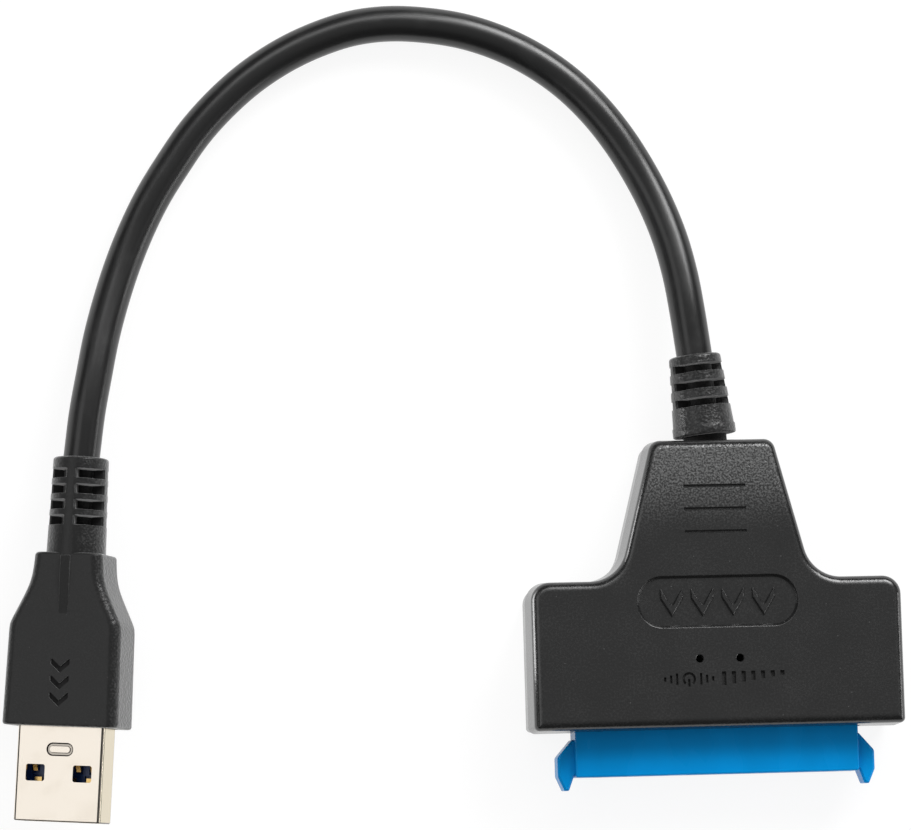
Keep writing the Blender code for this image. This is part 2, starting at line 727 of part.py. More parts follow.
def drive_connector():
    """Connector body with its collar, guide arms, keyed slots and contact passages."""
    data, power = contact_places()
    half = CONNECTOR_WIDTH / 2
    body = boxes("drive_connector_body", [(
        (-half, -CONNECTOR_REACH, CONNECTOR_LIFT),
        (half, CONNECTOR_SEAT, CONNECTOR_TOP),
    )])
    made = piece("drive_connector_body", body, CONNECTOR_BLUE, HOUSING_FRAME)
    bevel(made, CONNECTOR_BEVEL)
    start = WALL + SHELL_STEP + FIT
    collar = boxes("collar", [(
        (-COLLAR_WIDTH / 2, start, CONNECTOR_LIFT - COLLAR_RISE),
        (COLLAR_WIDTH / 2, start + COLLAR_LENGTH, CONNECTOR_TOP + COLLAR_RISE),
    )])
    boolean(made, cutter("collar", collar, HOUSING_FRAME), "UNION")
    low = CONNECTOR_LIFT + ARM_LIFT
    for side, name in ((-1, "left_arm"), (1, "right_arm")):
        arm = prism(name, arm_corners(side), low, low + ARM_HEIGHT)
        boolean(made, cutter(name, arm, HOUSING_FRAME), "UNION")
    data_slot, data_key = slot_ranges(data)
    power_slot, power_key = slot_ranges(power)
    slots = boxes("slots", [data_slot, power_slot])
    boolean(made, cutter("slots", slots, HOUSING_FRAME), "DIFFERENCE")
    keys = boxes("keys", [data_key, power_key])
    boolean(made, cutter("keys", keys, HOUSING_FRAME), "DIFFERENCE")
    back = -CONNECTOR_REACH + SLOT_DEPTH
    passages = boxes("passages", [
        ((x - PASSAGE_WIDTH / 2, back - OVERCUT / 4, SLOT_FLOOR + STEP),
         (x + PASSAGE_WIDTH / 2, CONNECTOR_SEAT + OVERCUT, SLOT_FLOOR + PASSAGE_HEIGHT))
        for x in data + power
    ])
    boolean(made, cutter("passages", passages, HOUSING_FRAME), "DIFFERENCE")


def strip(name, profile, width):
    """Flat spring of one thickness: a profile in Y and Z, given width along X."""
    shape = bmesh.new()
    half = width / 2
    left = [shape.verts.new((-half, y, z)) for y, z in profile]
    right = [shape.verts.new((half, y, z)) for y, z in profile]
    shape.faces.new(left)
    shape.faces.new(list(reversed(right)))
    for i in range(len(profile)):
        j = (i + 1) % len(profile)
        shape.faces.new((left[i], left[j], right[j], right[i]))
    return to_mesh(name, shape)


def contact_profile():
    """Side view of a drive contact: sprung tip, straight run and tail over the board."""
    tip = -CONNECTOR_REACH + CONTACT_SETBACK
    tail = BOARD_FRONT + CONTACT_TAIL
    under = [
        (tip, CONTACT_BASE + CONTACT_CROWN / 4),
        (tip + 2 * CONTACT_CROWN, CONTACT_BASE + CONTACT_CROWN),
        (tip + 5 * CONTACT_CROWN, CONTACT_BASE),
        (tail, CONTACT_BASE),
    ]
    over = [(y, z + CONTACT_THICKNESS) for y, z in reversed(under)]
    return under + over


def drive_contacts():
    """One sprung contact for each place in the two slots."""
    mesh = strip("drive_contact", contact_profile(), CONTACT_WIDTH)
    data, power = contact_places()
    for group, places in (("data_contact", data), ("power_contact", power)):
        for i, x in enumerate(places):
            made = piece("%s_%d" % (group, i + 1), mesh, CONTACT_GOLD, HOUSING_FRAME)
            made.location.x = x


def circuit_board():
    """T-shaped board behind the connector."""
    back = BOARD_FRONT + BOARD_LENGTH
    end = back + TONGUE_LENGTH
    small = BOARD_CORNER_RADIUS
    corners = [
        (-BOARD_WIDTH / 2, BOARD_FRONT, small),
        (BOARD_WIDTH / 2, BOARD_FRONT, small),
        (BOARD_WIDTH / 2, back, small),
        (TONGUE_ROOT_WIDTH / 2, back, small),
        (TONGUE_END_WIDTH / 2, end, small),
        (-TONGUE_END_WIDTH / 2, end, small),
        (-TONGUE_ROOT_WIDTH / 2, back, small),
        (-BOARD_WIDTH / 2, back, small),
    ]
    piece("circuit_board", prism("circuit_board", corners, BOARD_BASE, BOARD_TOP), BOARD_GREEN,
          HOUSING_FRAME)


def block(name, centre, size, material, edge=COMPONENT_EDGE):
    """Board component with bevelled edges, seated on the board."""
    width, length, height = size
    x, y = centre
    mesh = boxes(name, [(
        (x - width / 2, y - length / 2, PART_SEAT),
        (x + width / 2, y + length / 2, PART_SEAT + height),
    )])
    made = piece(name, mesh, material, HOUSING_FRAME)
    bevel(made, edge, 1)
    return made


def board_components():
    """Chips, crystal, choke, regulator, capacitors and the two indicator lights."""
    row = BOARD_FRONT + COMPONENT_ROW
    tongue_root = BOARD_FRONT + BOARD_LENGTH
    block("bridge_chip", (BRIDGE_CHIP_X, row), BRIDGE_CHIP_SIZE, CHIP_BLACK)
    block("memory_chip", (MEMORY_CHIP_X, row), MEMORY_CHIP_SIZE, CHIP_BLACK)
    block("crystal", (CRYSTAL_X, row), CRYSTAL_SIZE, CAN_METAL, CRYSTAL_EDGE)
    block("capacitor_1", (CAPACITOR_1_X, row), CAPACITOR_1_SIZE, CERAMIC_TAN)
    block("capacitor_2", (CAPACITOR_2_X, row), CAPACITOR_2_SIZE, CERAMIC_TAN)
    block("regulator", (0.0, tongue_root + REGULATOR_ON_TONGUE), REGULATOR_SIZE, CHIP_BLACK)
    can = (CHOKE_X, row, CHOKE_RADIUS, PART_SEAT, PART_SEAT + CHOKE_HEIGHT)
    made = piece("choke", cylinders("choke", [can], sides=24), CHIP_BLACK, HOUSING_FRAME)
    bevel(made, CHOKE_EDGE)
    smooth(made)
    for side, name in ((-1, "indicator_light_1"), (1, "indicator_light_2")):
        place = (side * INDICATOR_SPACING / 2, INDICATOR_FROM_FRONT)
        block(name, place, INDICATOR_SIZE, LENS_CLEAR)


def spined_ring(station, outer, core, slotted, spines, half_spine, gaps=7):
    """Ring across Y: full radius over the spines, and the core's radius in a slot."""
    edge = math.radians(0.4)
    points = []
    count = len(spines)
    for i, spine in enumerate(spines):
        following = spines[(i + 1) % count] + (2 * math.pi if i == count - 1 else 0.0)
        for angle in (spine - half_spine, spine, spine + half_spine):
            points.append((angle, outer))
        start = spine + half_spine + edge
        end = following - half_spine - edge
        for step in range(gaps + 1):
            angle = start + (end - start) * step / gaps
            points.append((angle, core if slotted else outer))
    return [
        Vector((radius * math.cos(angle), station, radius * math.sin(angle)))
        for angle, radius in points
    ]


def ribbed_rings(start, end, base_radius, end_radius, core, slots, spines, half_spine, gaps):
    """Rings of a tapered relief with slots, given as (low, high) stations."""
    def radius(station):
        share = (station - start) / (end - start)
        return base_radius + (end_radius - base_radius) * share

    stations = [(start, radius(start), False)]
    for low, high in sorted(slots):
        stations.append((low, radius(low), False))
        stations.append((low + STEP, radius(low), True))
        stations.append((high - STEP, radius(high), True))
        stations.append((high, radius(high), False))
    for i in range(4):
        angle = math.pi / 2 * i / 3
        station = end - END_ROUNDING * (1 - math.sin(angle))
        stations.append((station, radius(end) - END_ROUNDING * (1 - math.cos(angle)), False))
    return [
        spined_ring(station, outer, core, slotted, spines, half_spine, gaps)
        for station, outer, slotted in stations
    ]


def slot_stations(end, count, pitch, width, from_end):
    """Low and high station of each slot, counted back from the relief's end."""
    middles = [end - from_end - i * pitch for i in range(count)]
    return [(middle - width / 2, middle + width / 2) for middle in middles]


def bend_sideways(mesh, start, end, angle):
    """Turn what lies past a station about Z, easing in between start and end."""
    pivot = Vector((0.0, (start + end) / 2, 0.0))
    for vertex in mesh.vertices:
        share = min(1.0, max(0.0, (vertex.co.y - start) / (end - start)))
        turned = Matrix.Rotation(angle * share, 3, "Z")
        vertex.co = turned @ (vertex.co - pivot) + pivot


def relief_spines():
    """Angles of the two spines of the housing's relief."""
    return [RELIEF_SPINE_TURN, RELIEF_SPINE_TURN + math.pi]


def housing_relief():
    """Relief between housing and cord: inner flange, neck, outer flange and slotted taper."""
    spines = relief_spines()

    def ring(station, radius):
        return spined_ring(station, radius, 0.0, False, spines, RELIEF_SPINE, 11)

    flange_top = RELIEF_BASE + RELIEF_FLANGE_LENGTH
    rings = [
        ring(INNER_FLANGE_START, RELIEF_INNER_FLANGE_RADIUS),
        ring(INNER_FLANGE_END, RELIEF_INNER_FLANGE_RADIUS),
        ring(INNER_FLANGE_END + STEP, RELIEF_NECK_RADIUS),
        ring(HOUSING_LENGTH, RELIEF_NECK_RADIUS),
        ring(RELIEF_BASE - STEP, RELIEF_NECK_RADIUS),
        ring(RELIEF_BASE, RELIEF_FLANGE_RADIUS - END_ROUNDING / 2),
        ring(RELIEF_BASE + END_ROUNDING / 2, RELIEF_FLANGE_RADIUS),
        ring(flange_top, RELIEF_FLANGE_RADIUS),
    ]
    slots = slot_stations(RELIEF_END, RELIEF_SLOTS, RELIEF_SLOT_PITCH, RELIEF_SLOT_WIDTH,
                          RELIEF_SLOT_FROM_END)
    rings += ribbed_rings(flange_top + STEP, RELIEF_END, RELIEF_BASE_RADIUS, RELIEF_END_RADIUS,
                          RELIEF_CORE_RADIUS, slots, spines, RELIEF_SPINE, 11)
    mesh = loft("housing_relief", rings)
    bend_sideways(mesh, HOUSING_LENGTH, RELIEF_BASE - STEP, RELIEF_BEND)
    made = piece("housing_relief", mesh, RELIEF_BLACK, HOUSING_FRAME)
    made.location.z = PARTING_HEIGHT
    smooth(made)


def inner_wires():
    """Wires fanned out from the relief to the end of the board's tongue."""
    start_y = INNER_FLANGE_START - FIT
    end_y = BOARD_FRONT + BOARD_LENGTH + TONGUE_LENGTH - 2 * FIT
    end_z = PART_SEAT + WIRE_DIAMETER / 2
    angles = [2 * math.pi * (i + 0.5) / WIRE_COUNT for i in range(WIRE_COUNT)]
    starts = sorted((round(WIRE_RING_RADIUS * math.cos(angle), 6),
                     WIRE_RING_RADIUS * math.sin(angle)) for angle in angles)
    for i, (x, z) in enumerate(starts):
        pad = (i - (WIRE_COUNT - 1) / 2) * WIRE_PAD_PITCH
        points = []
        for step in range(WIRE_POINTS):
            share = step / (WIRE_POINTS - 1)
            eased = share * share * (3 - 2 * share)
            points.append(Vector((
                x + (pad - x) * eased,
                start_y + (end_y - start_y) * share,
                PARTING_HEIGHT + z + (end_z - PARTING_HEIGHT - z) * eased,
            )))
        tube("inner_wire_%d" % (i + 1), points, WIRE_DIAMETER, WIRE_FINISHES[i % 8],
             HOUSING_FRAME)


def tube(name, points, diameter, material, carrier, resolution=2):
    """Round tube along points, with closed ends."""
    curve = bpy.data.curves.new(name, "CURVE")
    curve.dimensions = "3D"
    curve.bevel_depth = diameter / 2
    curve.bevel_resolution = resolution
    curve.use_fill_caps = True
    spline = curve.splines.new("POLY")
    spline.points.add(len(points) - 1)
    for target, point in zip(spline.points, points):
        target.co = (*point, 1.0)
    curve.materials.append(material)
    made = bpy.data.objects.new(name, curve)
    made.parent = carrier
    PARTS.objects.link(made)
    return made


def smooth_path(points, count):
    """Points at even steps of the parameter on a smooth curve through the route's points."""
    path = []
    last = len(points) - 1
    for i in range(count):
        place = last * i / (count - 1)
        segment = min(int(place), last - 1)
        t = place - segment
        b, c = points[segment], points[segment + 1]
        a = points[segment - 1] if segment > 0 else b * 2 - c
        d = points[segment + 2] if segment + 2 <= last else c * 2 - b
        path.append(0.5 * (
            2 * b + (c - a) * t + (2 * a - 5 * b + 4 * c - d) * t ** 2
            + (3 * b - a - 3 * c + d) * t ** 3
        ))
    return path


def cord():
    """Cord from the plug's relief to the housing's relief, lying on the surface between."""
    plug_axis = PLUG_FRAME.rotation_euler.to_matrix() @ Vector((0.0, 1.0, 0.0))
    plug_end = Vector((PLUG_X, PLUG_FROM_FRONT, plug_height())) + plug_axis * (PLUG_END + FIT)
    pivot_y = (HOUSING_LENGTH + RELIEF_BASE - STEP) / 2
    relief_axis = Euler((0.0, 0.0, RELIEF_BEND)).to_matrix() @ Vector((0.0, 1.0, 0.0))
    relief_end = Vector((0.0, pivot_y, PARTING_HEIGHT))
    relief_end += relief_axis * (RELIEF_END + FIT - pivot_y)
    points = [plug_end] + [Vector(point) for point in CORD_ROUTE] + [relief_end]
    tube("cord", smooth_path(points, CORD_POINTS), CORD_DIAMETER, CORD_BLACK, HOUSING_FRAME, 4)


def body_half_width(station):
    """Half width of the plug's body: nearly straight in front, an S-shaped shoulder behind."""
    front = BODY_FRONT_WIDTH / 2
    waist = BODY_WAIST_WIDTH / 2
    rear = BODY_REAR_WIDTH / 2 + BODY_REAR_FLARE * (BODY_LENGTH - station)
    if station <= SHOULDER_START:
        return front + (waist - front) * station / SHOULDER_START
    share = min(1.0, (station - SHOULDER_START) / (SHOULDER_END - SHOULDER_START))
    eased = share * share * (3 - 2 * share)
    return waist + (rear - waist) * eased


def plug_body():
    """Lofted body of the overmould."""
    shoulder = [
        SHOULDER_START + (SHOULDER_END - SHOULDER_START) * i / 6 for i in range(7)
    ]
    stations = [(0.0, BODY_END_BEVEL), (BODY_END_BEVEL, 0.0)]
    stations += [(station, 0.0) for station in shoulder]
    stations += [(BODY_LENGTH - BODY_END_BEVEL, 0.0), (BODY_LENGTH, BODY_END_BEVEL)]
    rings = []
    for station, inset in stations:
        half = body_half_width(station)
        corners = rectangle(half * 2, BODY_THICKNESS, BODY_EDGE_RADIUS)
        rings.append(across(outline(corners, inset), station))
    return loft("plug_overmould", rings)


def plug_overmould():
    """Overmould: body, slotted cable relief, slim rib and the pocket for shell and core."""
    made = piece("plug_overmould", plug_body(), HOUSING_BLACK, PLUG_FRAME)
    slots = slot_stations(PLUG_END, CABLE_RELIEF_SLOTS, CABLE_RELIEF_SLOT_PITCH,
                          CABLE_RELIEF_SLOT_WIDTH, CABLE_RELIEF_SLOT_FROM_END)
    spines = [math.pi / 2 * i for i in range(4)]
    start = BODY_LENGTH - 2 * BODY_END_BEVEL
    relief = loft("cable_relief", ribbed_rings(
        start, PLUG_END, CABLE_RELIEF_BASE_RADIUS - STEP, CABLE_RELIEF_END_RADIUS,
        CABLE_RELIEF_CORE_RADIUS, slots, spines, CABLE_RELIEF_SPINE, 5,
    ))
    boolean(made, cutter("cable_relief", relief, PLUG_FRAME), "UNION")
    top = BODY_THICKNESS / 2
    rib_end = BODY_LENGTH - BODY_END_BEVEL
    profile = [
        (rib_end - RIB_ON_BODY_LENGTH, top - RIB_ON_BODY_RISE),
        (rib_end, top - RIB_ON_BODY_RISE),
        (rib_end, top + RIB_ON_BODY_RISE),
        (rib_end - RIB_ON_BODY_LENGTH / 3, top + RIB_ON_BODY_RISE),
        (rib_end - RIB_ON_BODY_LENGTH, top - RIB_ON_BODY_RISE / 4),
    ]
    rib = strip("body_rib", profile, RIB_ON_BODY_WIDTH)
    boolean(made, cutter("body_rib", rib, PLUG_FRAME), "UNION")
    mouth = boxes("shell_pocket", [(
        (-SHELL_WIDTH / 2 - FIT, -OVERCUT, -SHELL_HEIGHT / 2 - FIT),
        (SHELL_WIDTH / 2 + FIT, SHELL_SEAT + FIT, SHELL_HEIGHT / 2 + FIT),
    )])
    boolean(made, cutter("shell_pocket", mouth, PLUG_FRAME), "DIFFERENCE")
    core = boxes("core_pocket", [(
        (-CORE_WIDTH / 2 - FIT, SHELL_SEAT, -CORE_HEIGHT / 2 - FIT),
        (CORE_WIDTH / 2 + FIT, SHELL_SEAT + CORE_LENGTH + 3 * FIT, CORE_HEIGHT / 2 + FIT),
    )])
    boolean(made, cutter("core_pocket", core, PLUG_FRAME), "DIFFERENCE")
    smooth(made)


def plug_core():
    """Inner mould behind the shell, which holds the soldered wires."""
    start = SHELL_SEAT + 2 * FIT
    mesh = boxes("plug_inner_mould", [(
        (-CORE_WIDTH / 2, start, -CORE_HEIGHT / 2),
        (CORE_WIDTH / 2, start + CORE_LENGTH, CORE_HEIGHT / 2),
    )])
    bevel(piece("plug_inner_mould", mesh, CHIP_BLACK, PLUG_FRAME), CORE_BEVEL)


def shell_tube(name, inset, start, end):
    """Rounded rectangle of the shell, drawn in by an inset and run along the plug's axis."""
    corners = rectangle(SHELL_WIDTH, SHELL_HEIGHT, SHELL_CORNER_RADIUS)
    return loft(name, [across(outline(corners, inset), station) for station in (start, end)])


def plug_shell():
    """Pressed metal shell with four windows and a stamped oval."""
    mesh = shell_tube("plug_shell", 0.0, -SHELL_REACH, SHELL_SEAT)
    made = piece("plug_shell", mesh, SHELL_NICKEL, PLUG_FRAME)
    bore = shell_tube("shell_bore", SHELL_WALL, -SHELL_REACH - OVERCUT, SHELL_SEAT + OVERCUT)
    boolean(made, cutter("shell_bore", bore, PLUG_FRAME), "DIFFERENCE")
    half_height = SHELL_HEIGHT / 2 + OVERCUT
    windows = []
    for side in (-1, 1):
        x = side * WINDOW_SPACING / 2
        windows.append((
            (x - WINDOW_WIDTH / 2, -WINDOW_FROM_BODY - WINDOW_LENGTH / 2, -half_height),
            (x + WINDOW_WIDTH / 2, -WINDOW_FROM_BODY + WINDOW_LENGTH / 2, half_height),
        ))
    boolean(made, cutter("windows", boxes("windows", windows), PLUG_FRAME), "DIFFERENCE")
    floor = SHELL_HEIGHT / 2 - STAMP_DEPTH
    centre = (0.0, -STAMP_FROM_BODY)
    oval = rectangle(STAMP_LENGTH, STAMP_WIDTH, STAMP_WIDTH / 2 - STEP, centre)
    stamp = cutter("stamp", prism("stamp", oval, floor, half_height), PLUG_FRAME)
    bar = rectangle(STAMP_BAR_LENGTH, STAMP_BAR_WIDTH, STAMP_BAR_WIDTH / 2 - STEP, centre)
    island = cutter("stamp_bar", prism("stamp_bar", bar, floor - STAMP_DEPTH / 2, half_height + STEP),
                    PLUG_FRAME)
    boolean(stamp, island, "DIFFERENCE")
    boolean(made, stamp, "DIFFERENCE")
    smooth(made)


def strip_places(count, pitch):
    """Middle of each strip along X."""
    return [(i - (count - 1) / 2) * pitch for i in range(count)]


def plug_insulator():
    """Tongue inside the shell, thicker at its root, with a groove for each strip."""
    half = SHELL_WIDTH / 2 - SHELL_WALL - FIT
    low = -SHELL_HEIGHT / 2 + SHELL_WALL + FIT
    tip = -SHELL_REACH + INSULATOR_SETBACK
    mesh = boxes("plug_insulator", [((-half, tip, low), (half, INSULATOR_SEAT, INSULATOR_TOP))])
    made = piece("plug_insulator", mesh, INSULATOR_BLUE, PLUG_FRAME)
    root = boxes("insulator_root", [(
        (-half + STEP, INSULATOR_SEAT / 4, low + STEP),
        (half - STEP, INSULATOR_SEAT - STEP, -low),
    )])
    boolean(made, cutter("insulator_root", root, PLUG_FRAME), "UNION")
    front = tip + FRONT_STRIP_SETBACK
    rear = front + FRONT_STRIP_LENGTH + REAR_STRIP_SETBACK
    groove_floor = INSULATOR_TOP - GROOVE_DEPTH
    grooves = []
    for x in strip_places(FRONT_STRIPS, FRONT_STRIP_PITCH):
        reach = FRONT_STRIP_WIDTH / 2 + GROOVE_MARGIN
        grooves.append((
            (x - reach, front - GROOVE_MARGIN, groove_floor),
            (x + reach, front + FRONT_STRIP_LENGTH + GROOVE_MARGIN, INSULATOR_TOP + OVERCUT),
        ))
    for x in strip_places(REAR_STRIPS, REAR_STRIP_PITCH):
        reach = REAR_STRIP_WIDTH / 2 + GROOVE_MARGIN
        grooves.append((
            (x - reach, rear - GROOVE_MARGIN, groove_floor),
            (x + reach, rear + REAR_STRIP_LENGTH + GROOVE_MARGIN, INSULATOR_TOP + OVERCUT),
        ))
    boolean(made, cutter("grooves", boxes("grooves", grooves), PLUG_FRAME), "DIFFERENCE")


def plug_strips():
    """Four long contact strips in front and five short sprung ones behind."""
    low = INSULATOR_TOP - GROOVE_DEPTH + FIT
    high = low + STRIP_THICKNESS
    front = -SHELL_REACH + INSULATOR_SETBACK + FRONT_STRIP_SETBACK
    back = front + FRONT_STRIP_LENGTH
    bevelled = STRIP_THICKNESS / 2
    flat = [(front, low), (back, low), (back, high), (front + bevelled, high),
            (front, high - bevelled)]
    long_mesh = strip("plug_contact", flat, FRONT_STRIP_WIDTH)
    for i, x in enumerate(strip_places(FRONT_STRIPS, FRONT_STRIP_PITCH)):
        made = piece("plug_contact_%d" % (i + 1), long_mesh, CONTACT_GOLD, PLUG_FRAME)
        made.location.x = x
    start = back + REAR_STRIP_SETBACK
    end = start + REAR_STRIP_LENGTH
    crest = (start + end) / 2
    sprung = [(start, low), (end, low), (end, high), (crest, high + REAR_STRIP_CROWN),
              (start, high)]
    short_mesh = strip("plug_rear_contact", sprung, REAR_STRIP_WIDTH)
    for i, x in enumerate(strip_places(REAR_STRIPS, REAR_STRIP_PITCH)):
        made = piece("plug_rear_contact_%d" % (i + 1), short_mesh, CONTACT_GOLD, PLUG_FRAME)
        made.location.x = x


def build():
    """Model every piece of the adapter."""
    top_housing()
    bottom_housing()
    drive_connector()
    drive_contacts()
    circuit_board()
    board_components()
    housing_relief()
    inner_wires()
    cord()
    plug_overmould()
    plug_core()
    plug_shell()
    plug_insulator()
    plug_strips()


build()
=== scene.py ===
"""Looks of the drive adapter: T-shaped housing, wide connector, short cord and flat plug.

Every object is in metres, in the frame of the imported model: +Z up, the drive connector
facing -Y, the cord leaving the housing towards +Y.
"""
import logging
import math
from collections.abc import Callable, Iterable, Sequence
from dataclasses import dataclass, field
from enum import Enum
from typing import Union

import bmesh
import bpy
from mathutils import Matrix, Vector


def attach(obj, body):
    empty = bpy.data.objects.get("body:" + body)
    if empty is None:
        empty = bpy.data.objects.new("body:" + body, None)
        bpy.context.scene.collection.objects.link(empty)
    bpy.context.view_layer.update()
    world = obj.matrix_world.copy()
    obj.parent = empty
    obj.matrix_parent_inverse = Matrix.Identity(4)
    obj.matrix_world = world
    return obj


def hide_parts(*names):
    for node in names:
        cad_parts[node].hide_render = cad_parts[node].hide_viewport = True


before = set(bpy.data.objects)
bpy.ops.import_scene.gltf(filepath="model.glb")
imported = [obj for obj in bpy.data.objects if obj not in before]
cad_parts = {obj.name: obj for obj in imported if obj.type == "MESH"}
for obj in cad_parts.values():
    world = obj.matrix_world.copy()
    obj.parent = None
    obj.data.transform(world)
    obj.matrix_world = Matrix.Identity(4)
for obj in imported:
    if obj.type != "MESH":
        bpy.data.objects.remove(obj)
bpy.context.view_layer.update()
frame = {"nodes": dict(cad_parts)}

LOG = logging.getLogger("drive_adapter")
BODY = "root"
RECESS = "recess"
MILLI = 0.001
FIT = 0.0003                    # gap between two pieces that touch
OVERCUT = 0.001                 # how far a tool runs past the face that it opens
HAIR = 0.00002                  # least step between two faces
LEAST_RADIUS = 0.05 * MILLI
ROD_SIDES = 40
SHARP_ANGLE = math.radians(32)
BEVEL_ANGLE = math.radians(40)
MIDDLE = (-0.035, 0.02, 0.0)    # point of the floor that the studio stands around
COOL = (0.98, 0.99, 1.0)
NEUTRAL = (0.99, 1.0, 1.0)

Pair = tuple[float, float]
Triple = tuple[float, float, float]
Range = tuple[Sequence[float], Sequence[float]]
Operand = Union["Value", float, Sequence[float]]


class Axis(Enum):
    """Direction along which a rod is laid."""

    UP = "up"
    ALONG = "along"


class Slot(Enum):
    """Material slots of the record, passed with each piece but not used."""

    HOUSING = "housing_plastic"
    RELIEF = "relief_plastic"
    CORD = "cord_jacket"
    CONNECTOR = "connector_plastic"
    SHELL = "shell_metal"


def tinted(tint: Sequence[float], tone: float) -> list[float]:
    """Colour of a tint at a tone."""
    return [tone * share for share in tint]


def grey(tone: float) -> Triple:
    """Colour without a tint."""
    return (tone, tone, tone)


def eased(share: float) -> float:
    """Share kept between 0 and 1 and eased at both ends."""
    share = min(1.0, max(0.0, share))
    return share * share * (3 - 2 * share)


def quarter(radius: float, steps: int) -> list[Pair]:
    """Work out a rounding of a quarter turn.

    Args:
        radius: Its radius.
        steps: Its segments.

    Returns:
        How far each point has turned in, and how far it is from the end.
    """
    angles = [math.pi / 2 * i / steps for i in range(steps + 1)]
    return [(radius * (1 - math.cos(a)), radius * (1 - math.sin(a))) for a in angles]


class Value:
    """A socket of a shader graph; arithmetic on it adds Math nodes."""

    def __init__(self, graph: "Graph", socket: bpy.types.NodeSocket) -> None:
        """Keep the graph and the socket."""
        self.graph, self.socket = graph, socket

    def maths(self, operation: str, first: Operand, second: Operand) -> "Value":
        """Add one Math node with two operands."""
        return self.graph.node("ShaderNodeMath", {0: first, 1: second}, operation=operation)

    def __add__(self, other: Operand) -> "Value":
        """Return self + other."""
        return self.maths("ADD", self, other)

    def __radd__(self, other: Operand) -> "Value":
        """Return other + self."""
        return self.maths("ADD", other, self)

    def __sub__(self, other: Operand) -> "Value":
        """Return self - other."""
        return self.maths("SUBTRACT", self, other)

    def __rsub__(self, other: Operand) -> "Value":
        """Return other - self."""
        return self.maths("SUBTRACT", other, self)

    def __mul__(self, other: Operand) -> "Value":
        """Return self * other."""
        return self.maths("MULTIPLY", self, other)

    def __rmul__(self, other: Operand) -> "Value":
        """Return other * self."""
        return self.maths("MULTIPLY", other, self)

    def larger(self, other: Operand) -> "Value":
        """The larger of this value and another."""
        return self.maths("MAXIMUM", self, other)

    def between(self, low: float, high: float) -> "Value":
        """Ease from 0 at low to 1 at high; low may be the larger number."""
        ends = {"Value": self, "From Min": low, "From Max": high}
        return self.graph.node("ShaderNodeMapRange", ends, interpolation_type="SMOOTHSTEP")

    def blend(self, start: Operand, end: Operand) -> "Value":
        """Mix two colours by this share: start at 0, end at 1."""
        sides = {"Factor": self, "A": start, "B": end}
        return self.graph.node("ShaderNodeMix", sides, output="Result", data_type="RGBA")


